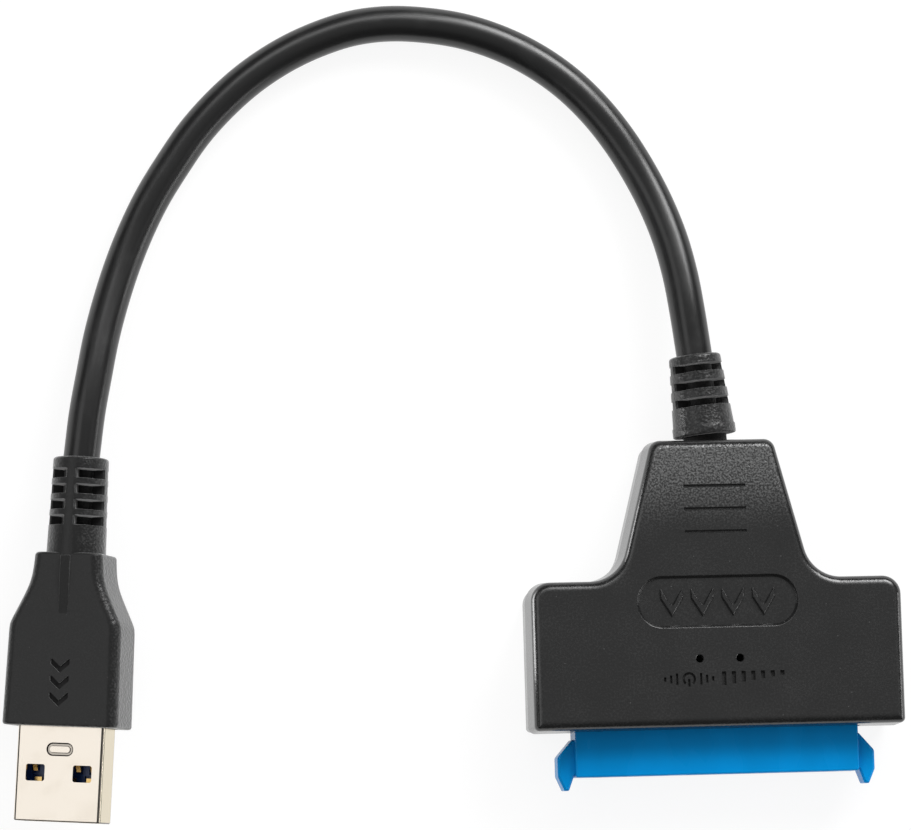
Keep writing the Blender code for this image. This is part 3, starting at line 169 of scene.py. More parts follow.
class Graph:
    """Node graph of one material or world, built from Python expressions."""

    def __init__(self, tree: bpy.types.NodeTree) -> None:
        """Empty the tree."""
        self.tree = tree
        tree.nodes.clear()

    @classmethod
    def of_material(cls, name: str) -> tuple[bpy.types.Material, "Graph"]:
        """Make a material and its empty graph.

        Args:
            name: Name of the material.

        Returns:
            The material and its graph.
        """
        material = bpy.data.materials.new(name)
        material.use_nodes = True
        return material, cls(material.node_tree)

    @staticmethod
    def pick(sockets: Iterable, key: Union[str, int]) -> bpy.types.NodeSocket:
        """Find an enabled socket by its name or its place.

        Args:
            sockets: Inputs or outputs of a node.
            key: Name, or place among the enabled sockets.

        Returns:
            The socket.
        """
        enabled = [socket for socket in sockets if socket.enabled]
        if isinstance(key, int):
            return enabled[key]
        return next(socket for socket in enabled if socket.name == key)

    def node(
        self,
        kind: str,
        inputs: dict[Union[str, int], Operand],
        output: Union[str, int] = 0,
        stops: Sequence[tuple[float, Sequence[float]]] = (),
        **settings: object,
    ) -> Value:
        """Add a node: its settings first, then the values or links of its sockets.

        Args:
            kind: Blender's type name of the node.
            inputs: Value or link for each named or numbered socket.
            output: Socket to return.
            stops: Places and colours of a ramp.
            settings: Attributes of the node.

        Returns:
            The chosen output.
        """
        made = self.tree.nodes.new(kind)
        for key, setting in settings.items():
            setattr(made, key, setting)
        for i, (place, colour) in enumerate(stops):
            elements = made.color_ramp.elements
            stop = elements[i] if i < len(elements) else elements.new(place)
            stop.position = place
            stop.color = (*colour, 1.0)
        for key, value in inputs.items():
            socket = self.pick(made.inputs, key)
            if isinstance(value, Value):
                self.tree.links.new(value.socket, socket)
            elif socket.type == "RGBA":
                socket.default_value = (*value, 1.0)
            else:
                socket.default_value = value
        return Value(self, self.pick(made.outputs, output) if made.outputs else None)

    def place(self, kind: str = "Object") -> Value:
        """Texture coordinate; the usual kind is the position on the object, in metres."""
        return self.node("ShaderNodeTexCoord", {}, output=kind)

    def ray(self, kind: str) -> Value:
        """Give 1 for the rays of a kind and 0 for all others."""
        return self.node("ShaderNodeLightPath", {}, output="Is %s Ray" % kind)

    def marked(self) -> Value:
        """Share of painted darkening, as the shape's faces were marked."""
        settings = {"attribute_name": RECESS, "attribute_type": "GEOMETRY"}
        return self.node("ShaderNodeAttribute", {}, output="Fac", **settings)

    def part(self, vector: Value, axis: str) -> Value:
        """One coordinate of a vector."""
        return self.node("ShaderNodeSeparateXYZ", {"Vector": vector}, output=axis)

    def stretched(self, vector: Value, scale: Sequence[float]) -> Value:
        """Scale a vector for each axis by itself."""
        return self.node("ShaderNodeVectorMath", {0: vector, 1: scale}, operation="MULTIPLY")

    def noise(self, vector: Value, cell: float, detail: float = 2.0) -> Value:
        """Cloudy noise around 0.5, with features as large as a cell and finer octaves."""
        inputs = {"Vector": vector, "Scale": 1.0 / cell, "Detail": detail}
        return self.node("ShaderNodeTexNoise", inputs)

    def cells(self, vector: Value, cell: float) -> Value:
        """Distance to the nearest point of Voronoi cells, in cells."""
        inputs = {"Vector": vector, "Scale": 1.0 / cell}
        return self.node("ShaderNodeTexVoronoi", inputs, output="Distance")

    def bump(self, height: Value, distance: float) -> Value:
        """Normal raised by a height map, whose 1 is a distance in metres."""
        return self.node("ShaderNodeBump", {"Height": height, "Distance": distance})

    def surface(self, **inputs: Operand) -> None:
        """End in a Principled shader, its sockets' names written with underscores."""
        shader = self.node("ShaderNodeBsdfPrincipled", {
            key.replace("_", " "): value for key, value in inputs.items()
        })
        self.node("ShaderNodeOutputMaterial", {"Surface": shader})


@dataclass(frozen=True)
class MouldedPlastic:
    """Black moulding with a fine spark-eroded grain, coarser on flanks and in a patch with a
    painted highlight.
    """

    name: str
    tone: float = 0.010
    # The pale end of the shading, reached by the painted highlight patch, painted glints, painted
    # reflection streaks and dust specks.
    pale_tone: float = 0.105
    roughness: float = 0.34
    specular: float = 0.5
    index: float = 1.65
    sheen: float = 0.0
    sheen_roughness: float = 0.4
    # Pale streaks on side walls: painted reflection.
    reflection_streaks: float = 0.0
    streak_width: float = 0.4 * MILLI
    face: Triple = (0.0, 0.0, 1.0)
    # Share of coarse grain and of painted glints on faces that turn away from face.
    flank: float = 0.0
    polish: float = 0.14
    grain: float = 0.26 * MILLI
    cloud: float = 6 * MILLI
    dust: float = 1.7 * MILLI
    relief: float = 0.012 * MILLI
    coarse_relief: float = 0.10 * MILLI
    # Between these Y places a highlight is painted and the grain grows coarser.
    highlight_from: float = 1.0
    highlight_to: float = 2.0
    shadow: float = 0.002

    def material(self) -> bpy.types.Material:
        """Build the material: grain, soft cloudiness, dust specks, and painted highlight, glints,
        reflection streaks and shade.

        Returns:
            The material.
        """
        material, graph = Graph.of_material(self.name)
        place, outward = graph.place(), graph.place("Normal")
        towards = graph.node(
            "ShaderNodeVectorMath", {0: outward, 1: self.face}, output="Value",
            operation="DOT_PRODUCT",
        )
        flat = (towards * towards).between(0.70, 0.97)
        # Towards the neck's end: a painted highlight, with coarser grain.
        highlit_coarse_patch = graph.part(place, "Y").between(self.highlight_from, self.highlight_to) * flat
        coarse_and_glinting = highlit_coarse_patch.larger((1.0 - flat) * self.flank)
        # Marked faces are darkened: painted shade in slots, grooves and marks.
        recess = graph.marked()
        cloud = graph.noise(place, self.cloud, 3.0) - 0.5
        fine = graph.noise(place, self.grain, 1.0)
        pits = graph.cells(place, self.grain * 1.6).between(0.0, 0.9)
        speck = graph.cells(place, self.dust).between(0.055, 0.035)
        # Pale streaks along Y on faces that look along X: painted reflection.
        beside = graph.part(outward, "X")
        drawn = graph.noise(graph.stretched(place, (1.0, 0.06, 1.0)), self.streak_width)
        reflection_streak = (beside * beside).between(0.62, 0.95) * drawn.between(0.35, 0.62) * self.reflection_streaks
        amount = self.relief + (self.coarse_relief - self.relief) * coarse_and_glinting
        height = (fine * 0.6 + pits * 0.4) * amount
        # Grain contrast, strongest on flanks and in the pale patch: real grain tone and painted
        # glints.
        grain_and_glints = (fine.between(0.38, 0.68) - 0.35) * (0.10 + 0.9 * coarse_and_glinting + 0.5 * highlit_coarse_patch)
        shade = cloud * 0.15 + grain_and_glints + highlit_coarse_patch * 0.75 + speck * 0.6 + reflection_streak
        plain = shade.blend(tinted(COOL, self.tone), tinted(NEUTRAL, self.pale_tone))
        graph.surface(
            Base_Color=recess.blend(plain, grey(self.shadow)),
            Roughness=(
                self.roughness - (1.0 - flat) * self.polish + cloud * 0.08
                + (fine - 0.5) * 0.10 + recess * 0.4
            ),
            Normal=graph.bump(height * (1.0 / MILLI), MILLI),
            Specular_IOR_Level=self.specular,
            Sheen_Weight=self.sheen,
            Sheen_Roughness=self.sheen_roughness,
            IOR=self.index,
        )
        return material


@dataclass(frozen=True)
class CordJacket:
    """Smooth extruded jacket with a satin sheen."""

    name: str
    tone: float = 0.009
    scuffed: float = 1.7
    roughness: float = 0.30
    index: float = 1.6
    ripple: float = 1.6 * MILLI
    skin: float = 0.22 * MILLI
    scuff: float = 5 * MILLI
    relief: float = 0.004 * MILLI

    def material(self) -> bpy.types.Material:
        """Build the material: slight ripple, faint scuffs.

        Returns:
            The material.
        """
        material, graph = Graph.of_material(self.name)
        place = graph.place()
        ripple = graph.noise(place, self.ripple)
        skin = graph.noise(place, self.skin, 1.0)
        scuff = graph.noise(place, self.scuff, 4.0).between(0.52, 0.72)
        dark, pale = tinted(COOL, self.tone), tinted(NEUTRAL, self.tone * self.scuffed)
        graph.surface(
            Base_Color=(scuff * 0.5 + (skin - 0.5) * 0.5).blend(dark, pale),
            Roughness=self.roughness + scuff * 0.07 + (skin - 0.5) * 0.08,
            Normal=graph.bump(ripple * 0.7 + skin * 0.3, self.relief),
            IOR=self.index,
        )
        return material


@dataclass(frozen=True)
class TintedPlastic:
    """Bright tinted moulding with painted light: paler towards its front and its right."""

    name: str
    deep: Triple = (0.0, 0.20, 0.51)
    pale: Triple = (0.0, 0.31, 0.78)
    back: float = -0.0150
    front: float = -0.0225
    left: float = -0.019
    right: float = 0.012
    roughness: float = 0.27
    specular: float = 0.09
    flow: float = 5.5 * MILLI
    skin: float = 0.5 * MILLI
    relief: float = 0.006 * MILLI

    def material(self) -> bpy.types.Material:
        """Build the material: a painted-light gradient along the connector, mottled by the melt's
        flow.

        Returns:
            The material.
        """
        material, graph = Graph.of_material(self.name)
        place = graph.place()
        # Paler towards the front and the right: painted light.
        forward = graph.part(place, "Y").between(self.back, self.front)
        aside = graph.part(place, "X").between(self.left, self.right)
        flow = graph.noise(graph.stretched(place, (1.0, 0.45, 1.0)), self.flow)
        skin = graph.noise(place, self.skin)
        share = forward * 0.65 + aside * 0.25 + (flow - 0.5) * 0.7 + (skin - 0.5) * 0.06
        graph.surface(
            Base_Color=share.blend(self.deep, self.pale),
            Roughness=self.roughness + (flow - 0.5) * 0.08,
            Normal=graph.bump(flow * 0.6 + skin * 0.4, self.relief),
            Specular_IOR_Level=self.specular,
        )
        return material


@dataclass(frozen=True)
class Metal:
    """Plated or polished metal with fine lengthwise rolling marks."""

    name: str
    colour: Triple
    stain: Triple
    roughness: float = 0.16
    mark: float = 0.05 * MILLI
    mark_length: float = 14.0
    cloud: float = 4 * MILLI
    scratch: float = 0.7 * MILLI
    relief: float = 0.0012 * MILLI
    # Tint painted as reflection on faces that look towards +X; black for none.
    painted_side_reflection: Triple = (0.0, 0.0, 0.0)

    def material(self) -> bpy.types.Material:
        """Build the material: rolling marks, soft stains and small scratches, with painted
        reflection on its sides and painted dark lines.

        Returns:
            The material.
        """
        material, graph = Graph.of_material(self.name)
        place = graph.place()
        marks = graph.noise(graph.stretched(place, (1.0, 1.0 / self.mark_length, 1.0)), self.mark)
        stain = graph.noise(place, self.cloud, 3.0).between(0.42, 0.72)
        lengthwise = graph.stretched(place, (1.0, 0.12, 1.0))
        scratch = graph.cells(lengthwise, self.scratch).between(0.035, 0.0)
        plated = (stain * 0.6 + (marks - 0.5) * 0.3).blend(self.colour, self.stain)
        # Faces that look towards +X: painted reflection tint.
        if any(self.painted_side_reflection):
            beside = graph.part(graph.place("Normal"), "X").between(0.2, 0.8)
            plated = beside.blend(plated, self.painted_side_reflection)
        graph.surface(
            # Marked faces take painted dark lines, at 5% of the stain colour.
            Base_Color=graph.marked().blend(plated, tinted(self.stain, 0.05)),
            Roughness=self.roughness + stain * 0.05 + (marks - 0.5) * 0.08 + scratch * 0.15,
            Normal=graph.bump(marks * 0.7 + stain * 0.3, self.relief),
            Metallic=1.0,
        )
        return material


@dataclass(frozen=True)
class Laminate:
    """Solder mask of a circuit board over glass weave and tracks."""

    name: str
    mask: Triple = (0.008, 0.11, 0.045)
    track: Triple = (0.03, 0.24, 0.09)
    roughness: float = 0.34
    weave_pitch: float = 0.45 * MILLI
    track_pitch: float = 0.9 * MILLI
    relief: float = 0.03 * MILLI

    def material(self) -> bpy.types.Material:
        """Build the material: weave, and tracks raised under the mask.

        Returns:
            The material.
        """
        material, graph = Graph.of_material(self.name)
        place = graph.place()
        weave = graph.node(
            "ShaderNodeTexWave", {"Vector": place, "Scale": 1.0 / self.weave_pitch}, output=1,
            wave_type="BANDS", bands_direction="DIAGONAL",
        )
        drawn = graph.stretched(place, (1.0, 0.35, 1.0))
        tracks = graph.cells(drawn, self.track_pitch).between(0.30, 0.26)
        graph.surface(
            Base_Color=(tracks * 0.8 + weave * 0.12).blend(self.mask, self.track),
            Roughness=self.roughness + weave * 0.06,
            Normal=graph.bump(tracks * 0.8 + weave * 0.2, self.relief),
        )
        return material


@dataclass(frozen=True)
class SmallPart:
    """Matt or glossy surface of a component on the board, or of a wire's jacket."""

    name: str
    colour: Triple
    roughness: float = 0.45
    grain: float = 0.12 * MILLI
    cloud: float = 1.1 * MILLI
    relief: float = 0.006 * MILLI
    variation: float = 0.35

    def material(self) -> bpy.types.Material:
        """Build the material: fine grain and cloudy colour.

        Returns:
            The material.
        """
        material, graph = Graph.of_material(self.name)
        place = graph.place()
        grain, cloud = graph.noise(place, self.grain), graph.noise(place, self.cloud)
        light = [min(1.0, part * (1.0 + self.variation) + 0.004) for part in self.colour]
        dark = tinted(self.colour, 1.0 - self.variation)
        graph.surface(
            Base_Color=(cloud * 0.6 + grain * 0.4).blend(dark, light),
            Roughness=self.roughness + (grain - 0.5) * 0.15,
            Normal=graph.bump(grain, self.relief),
        )
        return material


class Outline:
    """Anticlockwise outline whose corners are rounded by arcs."""

    def __init__(self, corners: Iterable[Triple]) -> None:
        """Keep the corners, each given as x, y and radius."""
        self.corners = list(corners)

    @classmethod
    def rectangle(
        cls, width: float, length: float, radius: float, centre: Pair = (0.0, 0.0)
    ) -> "Outline":
        """Make a rounded rectangle.

        Args:
            width: Size along the first axis.
            length: Size along the second axis.
            radius: Radius of its corners.
            centre: Its middle.

        Returns:
            The outline.
        """
        x, y = centre
        signs = ((-1, -1), (1, -1), (1, 1), (-1, 1))
        return cls([(x + i * width / 2, y + j * length / 2, radius) for i, j in signs])

    @classmethod
    def capsule(cls, width: float, length: float, centre: Pair) -> "Outline":
        """Make a rectangle that is rounded over its whole length."""
        return cls.rectangle(width, length, length / 2 - HAIR, centre)

    @classmethod
    def chevron(cls, centre: Pair, width: float, length: float, stroke: float) -> "Outline":
        """Make an arrow head that points towards -Y.

        Args:
            centre: Its middle.
            width: Size along X.
            length: Size along Y.
            stroke: Thickness along Y.

        Returns:
            The outline.
        """
        x, y = centre
        front, back, half, tip = y - length / 2, y + length / 2, width / 2, 0.12 * MILLI
        return cls([
            (x - half, back - stroke, tip), (x, front, tip), (x + half, back - stroke, tip),
            (x + half, back, tip), (x, front + stroke, tip), (x - half, back, tip),
        ])

    def moved_corner(self, i: int, inset: float) -> Vector:
        """Move a corner inwards by an inset from both its sides.

        Args:
            i: Number of the corner.
            inset: Distance.

        Returns:
            The corner's new place.
        """
        count = len(self.corners)
        before, corner, after = (Vector(self.corners[(i + k) % count][:2]) for k in (-1, 0, 1))
        arriving = (corner - before).normalized()
        leaving = (after - corner).normalized()
        inward = Vector((-arriving.y, arriving.x)) + Vector((-leaving.y, leaving.x))
        return corner + inward * (inset / (1.0 + arriving.dot(leaving)))

    def points(self, inset: float = 0.0, steps: int = 12) -> list[Vector]:
        """Work out the outline's points.

        Args:
            inset: How far the whole outline is drawn in.
            steps: Segments of each arc.

        Returns:
            Points in the plane.
        """
        moved = [self.moved_corner(i, inset) for i in range(len(self.corners))]
        points = []
        for i, corner in enumerate(moved):
            arriving = (corner - moved[i - 1]).normalized()
            leaving = (moved[(i + 1) % len(moved)] - corner).normalized()
            side = 1.0 if arriving.x * leaving.y > arriving.y * leaving.x else -1.0
            radius = max(self.corners[i][2] - side * inset, LEAST_RADIUS)
            angle = math.acos(max(-1.0, min(1.0, arriving.dot(leaving))))
            start = corner - arriving * radius * math.tan(angle / 2)
            centre = start + Vector((-arriving.y, arriving.x)) * radius * side
            for step in range(steps + 1):
                turned = Matrix.Rotation(side * angle * step / steps, 2)
                points.append(centre + turned @ (start - centre))
        return points


class Shape:
    """A closed mesh under construction, with the operations that the pieces need."""

    def __init__(self, shape: bmesh.types.BMesh) -> None:
        """Make the object, with its faces pointing out.

        Args:
            shape: The bmesh, which is used up.
        """
        bmesh.ops.recalc_face_normals(shape, faces=shape.faces)
        mesh = bpy.data.meshes.new("tool")
        shape.to_mesh(mesh)
        shape.free()
        self.item = bpy.data.objects.new("tool", mesh)
        bpy.context.scene.collection.objects.link(self.item)

    @classmethod
    def loft(cls, rings: Sequence[Sequence[Vector]]) -> "Shape":
        """Close a skin over rings of equally many points.

        Args:
            rings: Rings of points in space.

        Returns:
            The shape.
        """
        shape = bmesh.new()
        rows = [[shape.verts.new(point) for point in ring] for ring in rings]
        count = len(rows[0])
        for lower, upper in zip(rows, rows[1:]):
            for i in range(count):
                j = (i + 1) % count
                shape.faces.new((lower[i], lower[j], upper[j], upper[i]))
        shape.faces.new(list(reversed(rows[0])))
        shape.faces.new(rows[-1])
        return cls(shape)

    @classmethod
    def stack(cls, outline: Outline, levels: Iterable[Pair], steps: int = 12) -> "Shape":
        """Stack one outline along Z, at each level's height and inset."""
        return cls.loft([
            [Vector((point.x, point.y, height)) for point in outline.points(inset, steps)]
            for height, inset in levels
        ])

    @classmethod
    def sweep(
        cls, sections: Iterable[tuple[float, Outline, float]], steps: int = 8
    ) -> "Shape":
        """Skin outlines that stand across Y, each given by station, outline and inset."""
        return cls.loft([
            [Vector((point.x, station, point.y)) for point in outline.points(inset, steps)]
            for station, outline, inset in sections
        ])

    @classmethod
    def profile(cls, outline: Sequence[Pair], width: float) -> "Shape":
        """Give a side view in Y and Z a width along X."""
        return cls.loft([
            [Vector((x, y, z)) for y, z in outline] for x in (-width / 2, width / 2)
        ])

    @classmethod
    def boxes(cls, *ranges: Range) -> "Shape":
        """Make separate boxes.

        Args:
            ranges: Lowest and highest corner of each box.

        Returns:
            The shape.
        """
        shape = bmesh.new()
        for low, high in ranges:
            size = [b - a for a, b in zip(low, high)]
            middle = [(a + b) / 2 for a, b in zip(low, high)]
            place = Matrix.Translation(middle) @ Matrix.Diagonal((*size, 1.0))
            bmesh.ops.create_cube(shape, size=1.0, matrix=place)
        return cls(shape)

    @classmethod
    def rods(cls, rods: Iterable[Sequence[float]], axis: Axis = Axis.UP) -> "Shape":
        """Make separate cylinders.

        Args:
            rods: Two coordinates, radius and both ends of each rod.
            axis: Direction of the rods.

        Returns:
            The shape.
        """
        shape = bmesh.new()
        for first, second, radius, low, high in rods:
            middle = (low + high) / 2
            if axis is Axis.UP:
                place = Matrix.Translation((first, second, middle))
            else:
                turn = Matrix.Rotation(math.pi / 2, 4, "X")
                place = Matrix.Translation((first, middle, second)) @ turn
            bmesh.ops.create_cone(
                shape, cap_ends=True, segments=ROD_SIDES, radius1=radius, radius2=radius,
                depth=high - low, matrix=place,
            )
        return cls(shape)

    def evaluate(self) -> None:
        """Turn the modifiers into mesh."""
        graph = bpy.context.evaluated_depsgraph_get()
        mesh = bpy.data.meshes.new_from_object(self.item.evaluated_get(graph))
        self.item.modifiers.clear()
        self.item.data = mesh

    def combine(self, operation: str, tools: Iterable["Shape"]) -> "Shape":
        """Apply a Boolean with each tool and remove the tools.

        Args:
            operation: Name of the Boolean's operation.
            tools: Shapes that are used up.

        Returns:
            This shape.
        """
        for tool in tools:
            modifier = self.item.modifiers.new(operation, "BOOLEAN")
            modifier.object = tool.item
            modifier.operation = operation
            self.evaluate()
            bpy.data.objects.remove(tool.item, do_unlink=True)
        return self

    def cut(self, *tools: "Shape") -> "Shape":
        """Take the tools away."""
        return self.combine("DIFFERENCE", tools)

    def join(self, *tools: "Shape") -> "Shape":
        """Add the tools."""
        return self.combine("UNION", tools)

    def bevel(self, width: float) -> "Shape":
        """Round the sharp edges.

        Args:
            width: Size of the rounding.

        Returns:
            This shape.
        """
        modifier = self.item.modifiers.new("rounded_edges", "BEVEL")
        modifier.width = width
        modifier.segments = 3
        modifier.limit_method = "ANGLE"
        modifier.angle_limit = BEVEL_ANGLE
        self.evaluate()
        return self

    def warp(self, move: Callable[[Vector], Vector]) -> "Shape":
        """Move every point.

        Args:
            move: Gives a point's new place.

        Returns:
            This shape.
        """
        for vertex in self.item.data.vertices:
            vertex.co = move(vertex.co)
        return self

    def mark(self, test: Callable[[Vector, Vector], float]) -> "Shape":
        """Mark faces whose colour is darkened, mostly for painted shade and painted dark lines.

        Args:
            test: Gives a face's share from its centre and its normal.

        Returns:
            This shape.
        """
        mesh = self.item.data
        layer = mesh.attributes.new(RECESS, "FLOAT", "FACE")
        for face in mesh.polygons:
            layer.data[face.index].value = test(face.center, face.normal)
        return self

    def publish(
        self, name: str, material: bpy.types.Material, slot: Slot, node: str, place: Matrix
    ) -> bpy.types.Object:
        """Name, shade and place the finished shape, and let it stand for a CAD node.

        Args:
            name: Name of the piece.
            material: Its finish.
            slot: The record's slot of the finish; not used.
            node: CAD node that it replaces.
            place: From the piece's own frame to the row frame.

        Returns:
            The object.
        """
        mesh = self.item.data
        mesh.transform(place)
        mesh.shade_smooth()
        mesh.set_sharp_from_angle(angle=SHARP_ANGLE)
        modifier = self.item.modifiers.new("flat_faces", "WEIGHTED_NORMAL")
        modifier.keep_sharp = True
        self.evaluate()
        self.item.name = self.item.data.name = name
        self.item.data.materials.clear()
        self.item.data.materials.append(material)
        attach(self.item, BODY)
        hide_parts(node)
        LOG.info("%s: %d faces", name, len(self.item.data.polygons))
        return self.item


@dataclass(frozen=True)
class Layout:
    """Where the housing and the plug lie in the row frame."""

    front: float = -0.01545
    plug_x: float = -0.08585
    plug_from_front: float = 0.00245
    plug_turn: float = math.radians(-4.2)
    plug_roll: float = math.radians(-21.5)
    plug_half_width: float = 0.0080
    plug_half_thickness: float = 0.0039
    plug_edge: float = 0.0014
    plug_clearance: float = 0.00003

    def housing(self) -> Matrix:
        """Frame of the housing, at the middle of its front."""
        return Matrix.Translation((0.0, self.front, 0.0))

    def plug_height(self) -> float:
        """Work out how high the plug's axis is when its body lies rolled on the surface.

        Returns:
            The height.
        """
        wide = (self.plug_half_width - self.plug_edge) * math.sin(abs(self.plug_roll))
        thick = (self.plug_half_thickness - self.plug_edge) * math.cos(self.plug_roll)
        return wide + thick + self.plug_edge + self.plug_clearance

    def plug(self) -> Matrix:
        """Work out the plug's frame, at the middle of its overmould's front.

        Returns:
            The frame.
        """
        place = (self.plug_x, self.front + self.plug_from_front, self.plug_height())
        turn = Matrix.Rotation(self.plug_turn, 4, "Z") @ Matrix.Rotation(self.plug_roll, 4, "Y")
        return Matrix.Translation(place) @ turn


@dataclass
class Housing:
    """Two shells with a capsule field, grip lines, indicator holes and small marks."""

    wing_width: float = 0.0500
    wing_depth: float = 0.0200
    length: float = 0.0385
    neck_end: float = 0.0167
    neck_root: float = 0.0263
    neck_corner: float = 0.0018
    neck_fillet: float = 0.0048
    wing_shoulder: float = 0.0027
    wing_foot: float = 0.0009
    height: float = 0.0122
    parting: float = 0.0061
    parting_gap: float = 0.0002
    seam_bevel: float = 0.08 * MILLI
    wall: float = 0.0016
    lid: float = 0.0015
    rounding: float = 0.0013
    draft: float = 0.00022
    step: float = 0.00012
    grips: int = 3
    grip_length: float = 0.0083
    grip_width: float = 0.00042
    grip_depth: float = 0.00016
    grip_pitch: float = 0.00303
    grip_from_end: float = 0.0064
    field_length: float = 0.0214
    field_width: float = 0.00665
    field_depth: float = 0.0004
    field_slope: float = 0.00022
    field_from_front: float = 0.0168
    chevrons: int = 4
    chevron_pitch: float = 0.0041
    chevron_width: float = 0.0031
    chevron_length: float = 0.0041
    chevron_stroke: float = 0.0016
    chevron_rise: float = 0.0003
    chevron_shoulder: float = 0.06 * MILLI
    chevron_slope: float = 0.2 * MILLI
    indicator_radius: float = 0.0005
    indicator_spacing: float = 0.0054
    indicator_from_front: float = 0.00925
    countersink: float = 0.07 * MILLI
    countersink_depth: float = 0.06 * MILLI
    mark_from_front: float = 0.0066
    mark_height: float = 0.0018
    mark_stroke: float = 0.00030
    mark_depth: float = 0.00034
    bars: int = 7
    bar_start: float = 0.0002
    bar_pitch: float = 0.00130
    bar_width: float = 0.00055
    bar_fall: float = 0.11
    power_x: float = -0.0042
    power_gap: float = 38.0
    power_overhang: float = 0.0001
    waves: int = 3
    wave_start: float = 0.0016
    wave_pitch: float = 0.0008
    wave_rise: float = 0.42
    wave_fall: float = 0.13
    lip: float = 0.00020
    connector_width: float = 0.0380
    connector_low: float = 0.0030
    connector_high: float = 0.0080
    relief_neck: float = 0.0029
    pin_radius: float = 0.0008
    pin_end: float = 0.0032
    boss_radius: float = 0.0020
    wing_pin_inset: float = 0.0035
    wing_pin_depth: float = 0.0130
    neck_pin_inset: float = 0.0029
    neck_pin_from_end: float = 0.0075
    # Patch of painted highlight and coarser grain, measured from the neck's end.
    highlight_from_end: Pair = (0.0130, 0.0005)

    def outline(self) -> Outline:
        """Outline of the T.

        Returns:
            The outline, from the front left.
        """
        wing, root, end = self.wing_width / 2, self.neck_root / 2, self.neck_end / 2
        right = [
            (wing, 0.0, self.wing_foot),
            (wing, self.wing_depth, self.wing_shoulder),
            (root, self.wing_depth, self.neck_fillet),
            (end, self.length, self.neck_corner),
        ]
        return Outline(right + [(-x, y, radius) for x, y, radius in reversed(right)])

    def skin(self, seam: float, face: float, step: float) -> Shape:
        """Outer form of a shell from the seam to its face.

        Args:
            seam: Height of the seam.
            face: Height of its flat face.
            step: How far it stands back at the seam.

        Returns:
            The form, with draft and a rounded edge.
        """
        way = 1.0 if face > seam else -1.0
        levels = [(seam, step + self.seam_bevel), (seam + way * self.seam_bevel, step)]
        for turned, left in quarter(self.rounding, 10):
            levels.append((face - way * left, step + self.draft + turned))
        return Shape.stack(self.outline(), levels)

    def hollow(self, low: float, high: float) -> Shape:
        """Inner space of a shell between two heights."""
        inset = self.wall + self.step
        return Shape.stack(self.outline(), [(low, inset), (high, inset)])

    def openings(self) -> tuple[Shape, Shape]:
        """Openings for the connector in front and the relief behind.

        Returns:
            Both tools.
        """
        half = self.connector_width / 2 + FIT
        front = Shape.boxes((
            (-half, -OVERCUT, self.connector_low - FIT),
            (half, self.wall + self.step + OVERCUT / 2, self.connector_high + FIT),
        ))
        low = self.length - self.wall - self.step - OVERCUT / 2
        rod = (0.0, self.parting, self.relief_neck + FIT, low, self.length + OVERCUT)
        return front, Shape.rods([rod], Axis.ALONG)

    def field(self) -> Shape:
        """Capsule field, with raised chevrons left standing in it.

        Returns:
            The tool.
        """
        floor, y = self.height - self.field_depth, self.field_from_front
        capsule = Outline.capsule(self.field_length, self.field_width, (0.0, y))
        levels = [(floor, self.field_slope)]
        levels += [(self.height - left, -turned) for turned, left in quarter(self.lip, 4)]
        levels.append((self.height + OVERCUT, -self.lip))
        tool = Shape.stack(capsule, levels, 24)
        rise = [
            (floor - OVERCUT, 0.0), (floor, 0.0),
            (floor + self.chevron_rise * 0.6, self.chevron_shoulder),
            (floor + self.chevron_rise, self.chevron_slope),
        ]
        for i in range(self.chevrons):
            x = (i - (self.chevrons - 1) / 2) * self.chevron_pitch
            tool.cut(Shape.stack(Outline.chevron(
                (x, y), self.chevron_width, self.chevron_length, self.chevron_stroke
            ), rise, 4))
        return tool

    def grip_lines(self) -> list[Shape]:
        """Fine V-shaped lines across the neck.

        Returns:
            The tools.
        """
        tools = []
        half, top, over = self.grip_width / 2, self.height, self.height + OVERCUT
        for i in range(self.grips):
            y = self.length - self.grip_from_end - i * self.grip_pitch
            tools.append(Shape.profile([
                (y, top - self.grip_depth), (y + half, top), (y + half, over),
                (y - half, over), (y - half, top),
            ], self.grip_length))
        return tools

    def ring(self, radius: float, start: float, end: float) -> Outline:
        """Band of a circle around the power mark, between two angles.

        Args:
            radius: Radius of the band's middle.
            start: First angle.
            end: Last angle.

        Returns:
            The band's outline.
        """
        x, y, half, count = self.power_x, self.mark_from_front, self.mark_stroke / 2, 18
        angles = [start + (end - start) * i / count for i in range(count + 1)]
        band = [(angle, radius + half) for angle in angles]
        band += [(angle, radius - half) for angle in reversed(angles)]
        return Outline(
            (x + r * math.cos(angle), y + r * math.sin(angle), HAIR) for angle, r in band
        )

    def marks(self) -> list[Shape]:
        """Small generic marks below the indicator holes: a power ring, waves and bars.

        Returns:
            The tools.
        """
        low, high = self.height - self.mark_depth, self.height + OVERCUT
        y, tall, half = self.mark_from_front, self.mark_height, self.mark_stroke / 2
        boxes = []
        for i in range(self.bars):
            x = self.bar_start + i * self.bar_pitch
            foot = y + tall / 2 - tall * (1.0 - self.bar_fall * i)
            boxes.append(((x, foot, low), (x + self.bar_width, y + tall / 2, high)))
        power, foot = self.power_x, y - tall / 2 - self.power_overhang
        boxes.append(((power - half, foot, low), (power + half, y, high)))
        for i in range(self.waves):
            rise = tall * (self.wave_rise - self.wave_fall * i)
            for side in (-1, 1):
                x = power + side * (self.wave_start + i * self.wave_pitch)
                boxes.append(((x - half, y - rise, low), (x + half, y + rise, high)))
        start = math.radians(self.power_gap - 90)
        end = start + math.radians(360 - 2 * self.power_gap)
        band = self.ring(tall / 2 - half, start, end)
        return [Shape.boxes(*boxes), Shape.stack(band, [(low, 0.0), (high, 0.0)], 1)]

